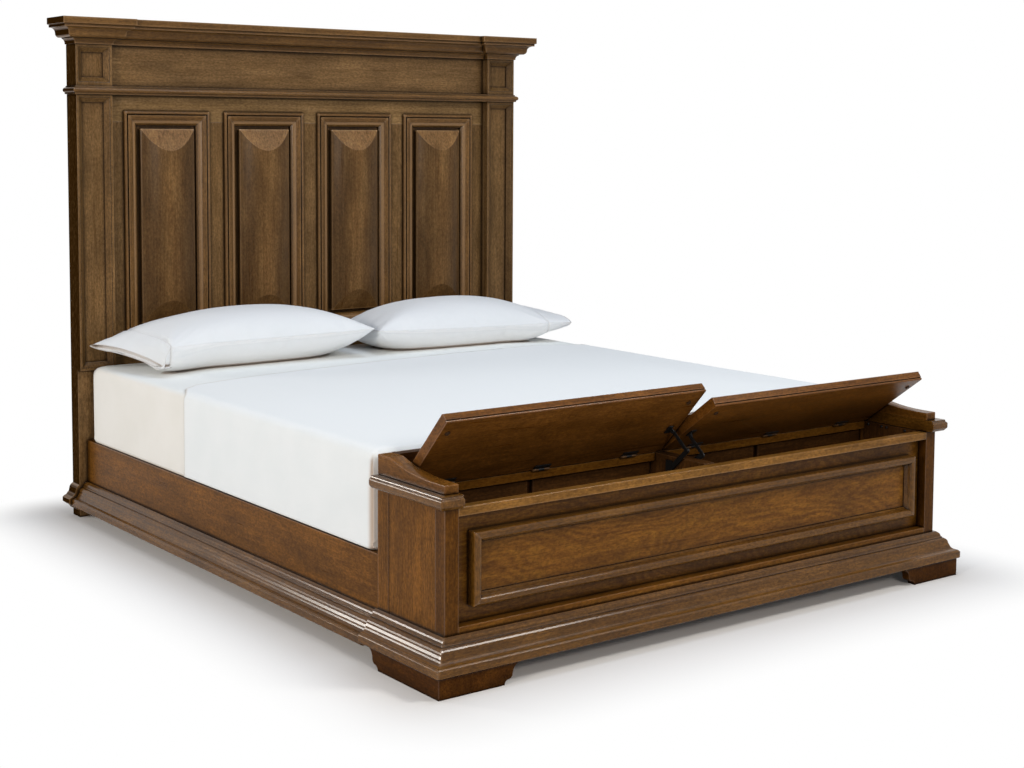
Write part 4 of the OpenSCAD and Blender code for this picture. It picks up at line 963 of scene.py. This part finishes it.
# Two layers of cloth between the seam's front and back edge, joined there and at the closed end. At the open
# end both turn in to a pocket. openEnd is the side of the bed that the mouth faces.
def pillowForm(name, node, openEnd):
    look, plan = pillowLook, pillowPlan[node]
    even, evenly = np.linspace(0, 1, look["columns"]), look["evenColumns"]
    spaced = evenly * even + (1 - evenly) * (1 - np.cos(math.pi / 2 * even))
    share = np.sort(np.append(spaced, look["hemAt"] + np.array(look["hemColumns"])))
    even, evenly = np.linspace(-1, 1, look["rows"] + 1), look["evenRows"]
    depth = evenly * even + (1 - evenly) * np.sin(math.pi / 2 * even)
    stations = [row[0] for row in plan["seam"]]
    front, back = (
        np.stack([np.interp(share, stations, [row[edge][axis] for row in plan["seam"]]) for axis in range(3)], axis=1)
        for edge in (1, 2)
    )
    last, rows = len(share) - 1, look["rows"]
    # height along the pillow: round at the closed end, running out flat past the hem
    toMiddle = np.clip(share / 0.5, 0, 1)
    topEnd = (1 - (1 - toMiddle) ** 3) ** look["topEnd"]
    bellyEnd = (1 - (1 - toMiddle) ** 2) ** look["bellyEnd"]
    toHem = np.clip((share - 0.5) / (look["hemAt"] - 0.5), 0, 1)
    early, late = look["falls"]
    falling = look["hemThick"] + (1 - look["hemThick"]) * (1 - toHem ** early) ** late
    steep = look["underRim"] - look["underRimEases"] * ramped(share, *look["underRimSpan"])
    band = np.clip((share - look["hemAt"]) / (1 - look["hemAt"]), 0, 1)
    numbers, points, faces, shares = {}, [], [], []

    # layer 1 is the top, -1 the underside and 0 the pocket; i counts along the length, j from front to back
    def number(layer, i, j):
        key = (min(i, last), j) if i == 0 or j in (0, rows) else (layer, i, j)
        if key not in numbers:
            numbers[key] = len(points)
            inner = min(i, last)
            v = depth[j]
            point = front[inner] + (back[inner] - front[inner]) * (v + 1) / 2
            drawn = look["drawnIn"] * (1 - v * v) * (1 - ramped(share[inner], 0.0, look["drawnInReach"]))
            point[0] += openEnd * drawn
            gap = plan["mouth"] * (1 - abs(v) ** look["mouthRim"]) * band[inner]
            point[2] += plan["lifted"] * (1 - v * v) * band[inner]
            if i > last:
                point[0] -= openEnd * look["pocket"]
            elif layer > 0:
                rim = (1 - abs(v) ** 3) ** look["topRim"]
                point[2] += plan["crown"] * rim * topEnd[i] * falling[i] * (1 - band[i]) + gap * look["mouthUp"]
            else:
                rim = (1 - v * v) ** steep[i]
                filled = plan["fullUnder"] * float(ramped(-v, *look["fullerSpan"]))
                fuller = falling[i] + (1 - falling[i]) * filled
                hang = look["under"] * rim * bellyEnd[i] * fuller * (1 - band[i])
                point[2] -= hang + gap * (1 - look["mouthUp"])
            points.append(point)
            shares.append((share[inner], v, float(j in (0, rows) or i in (0, last, last + 1)), band[inner]))
        return numbers[key]

    steps = [(1, i) for i in range(last + 1)] + [(0, last + 1)] + [(-1, i) for i in range(last, -1, -1)]
    for (layerA, a), (layerB, b) in zip(steps, steps[1:]):
        for j in range(rows):
            ring = [
                number(layerA, a, j), number(layerB, b, j), number(layerB, b, j + 1), number(layerA, a, j + 1),
            ]
            ring = [corner for place, corner in enumerate(ring) if corner not in ring[:place]]
            if len(ring) > 2:
                faces.append(ring if openEnd > 0 else ring[::-1])
    mesh = bpy.data.meshes.new(name)
    mesh.from_pydata([tuple(point) for point in points], [], faces)
    mesh.validate()
    rims = [shares[edge.vertices[0]][2] * shares[edge.vertices[1]][2] for edge in mesh.edges]
    mesh.attributes.new("crease_edge", "FLOAT", "EDGE").data.foreach_set("value", rims)  # the seam stays crisp
    for column, label in enumerate(("lengthShare", "depthShare", "seamShare", "bandShare")):
        values = [row[column] for row in shares]
        mesh.attributes.new(label, "FLOAT", "POINT").data.foreach_set("value", values)
    return meshObject(name, mesh)


# The filling presses the case out, with its seam and its empty band held.
def puff(piece):
    look = pillowLook
    held = piece.vertex_groups.new(name="heldSeam")
    seams, bands = readShare(piece.data, "seamShare"), readShare(piece.data, "bandShare")
    for place, (seam, band) in enumerate(zip(seams, bands)):
        if seam > look["heldSeam"] or band > look["heldBand"]:
            held.add([place], 1.0, "REPLACE")
    cloth = piece.modifiers.new("puffed", "CLOTH")
    for setting, value in look["cloth"].items():
        setattr(cloth.settings, setting, value)
    cloth.settings.vertex_group_mass = "heldSeam"
    cloth.settings.effector_weights.gravity = 0
    cloth.point_cache.frame_start = 1
    cloth.point_cache.frame_end = look["frames"]
    before = readPoints(piece.data)
    for frameNumber in range(1, look["frames"] + 1):
        scene.frame_set(frameNumber)
    applyModifiers(piece)
    scene.frame_set(1)
    move = readPoints(piece.data) - before
    length = np.linalg.norm(move, axis=1)
    print("swelled by at most", round(float(length.max()), 4), "m")
    move *= np.minimum(1, look["mostMove"] / np.maximum(length, 1e-9))[:, None]
    writePoints(piece.data, before + move)


def pillow(name, node, openEnd, ground):
    look = pillowLook
    piece = pillowForm(name, node, openEnd)
    puff(piece)
    finer = piece.modifiers.new("finer", "SUBSURF")
    finer.levels = finer.render_levels = 1
    applyModifiers(piece)
    points = readPoints(piece.data)
    normals = readNormals(piece.data)
    share, depth, seam = (readShare(piece.data, label) for label in ("lengthShare", "depthShare", "seamShare"))
    body = 1 - ramped(share, *(look["hemAt"] + shift for shift in look["filledTo"]))
    out = look["seamMm"] * seam * body
    for shift, width, height in (look["hemStitch"], look["hemRidge"]):
        out += height * bell(share, look["hemAt"] + shift, width)
    # puckers where the filling pulls on the seams, strongest at the corners
    nearSide = ramped(np.abs(depth), *look["sideSpan"]) * (seam < 0.9)
    nearEnd = 1 - ramped(share, *look["endSpan"])
    pucker = waves(points, *look["sidePuckers"]) * nearSide + waves(points, *look["endPuckers"]) * nearEnd
    loose = waves(points, *look["loose"]) * (1 - body)
    out += pucker * look["puckerMm"] + waves(points, *look["dents"]) * look["dentMm"] + loose * look["looseMm"]
    points += normals * (out / 1000)[:, None]
    # it lies on the bed, which is found from above
    for point in points:
        hit = ground.ray_cast(Vector((point[0], point[1], look["lookFrom"])), Vector((0, 0, -1)))[0]
        if hit is not None:
            point[2] = max(point[2], hit.z + look["over"])
    writePoints(piece.data, points)
    wear(piece, "pillowcase", "root")
    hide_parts(node)
    return piece


mattress = fittedMattress()
print("mattress made")
sheet = flatSheet(mattress)
print("flat sheet laid")
form = bmesh.new()
for piece in (mattress, sheet):
    form.from_mesh(piece.data)
bed = BVHTree.FromBMesh(form)
form.free()
pillow("leftPillow", "pillow_left", -1, bed)
pillow("rightPillow", "pillow_right", 1, bed)
print("pillows laid")
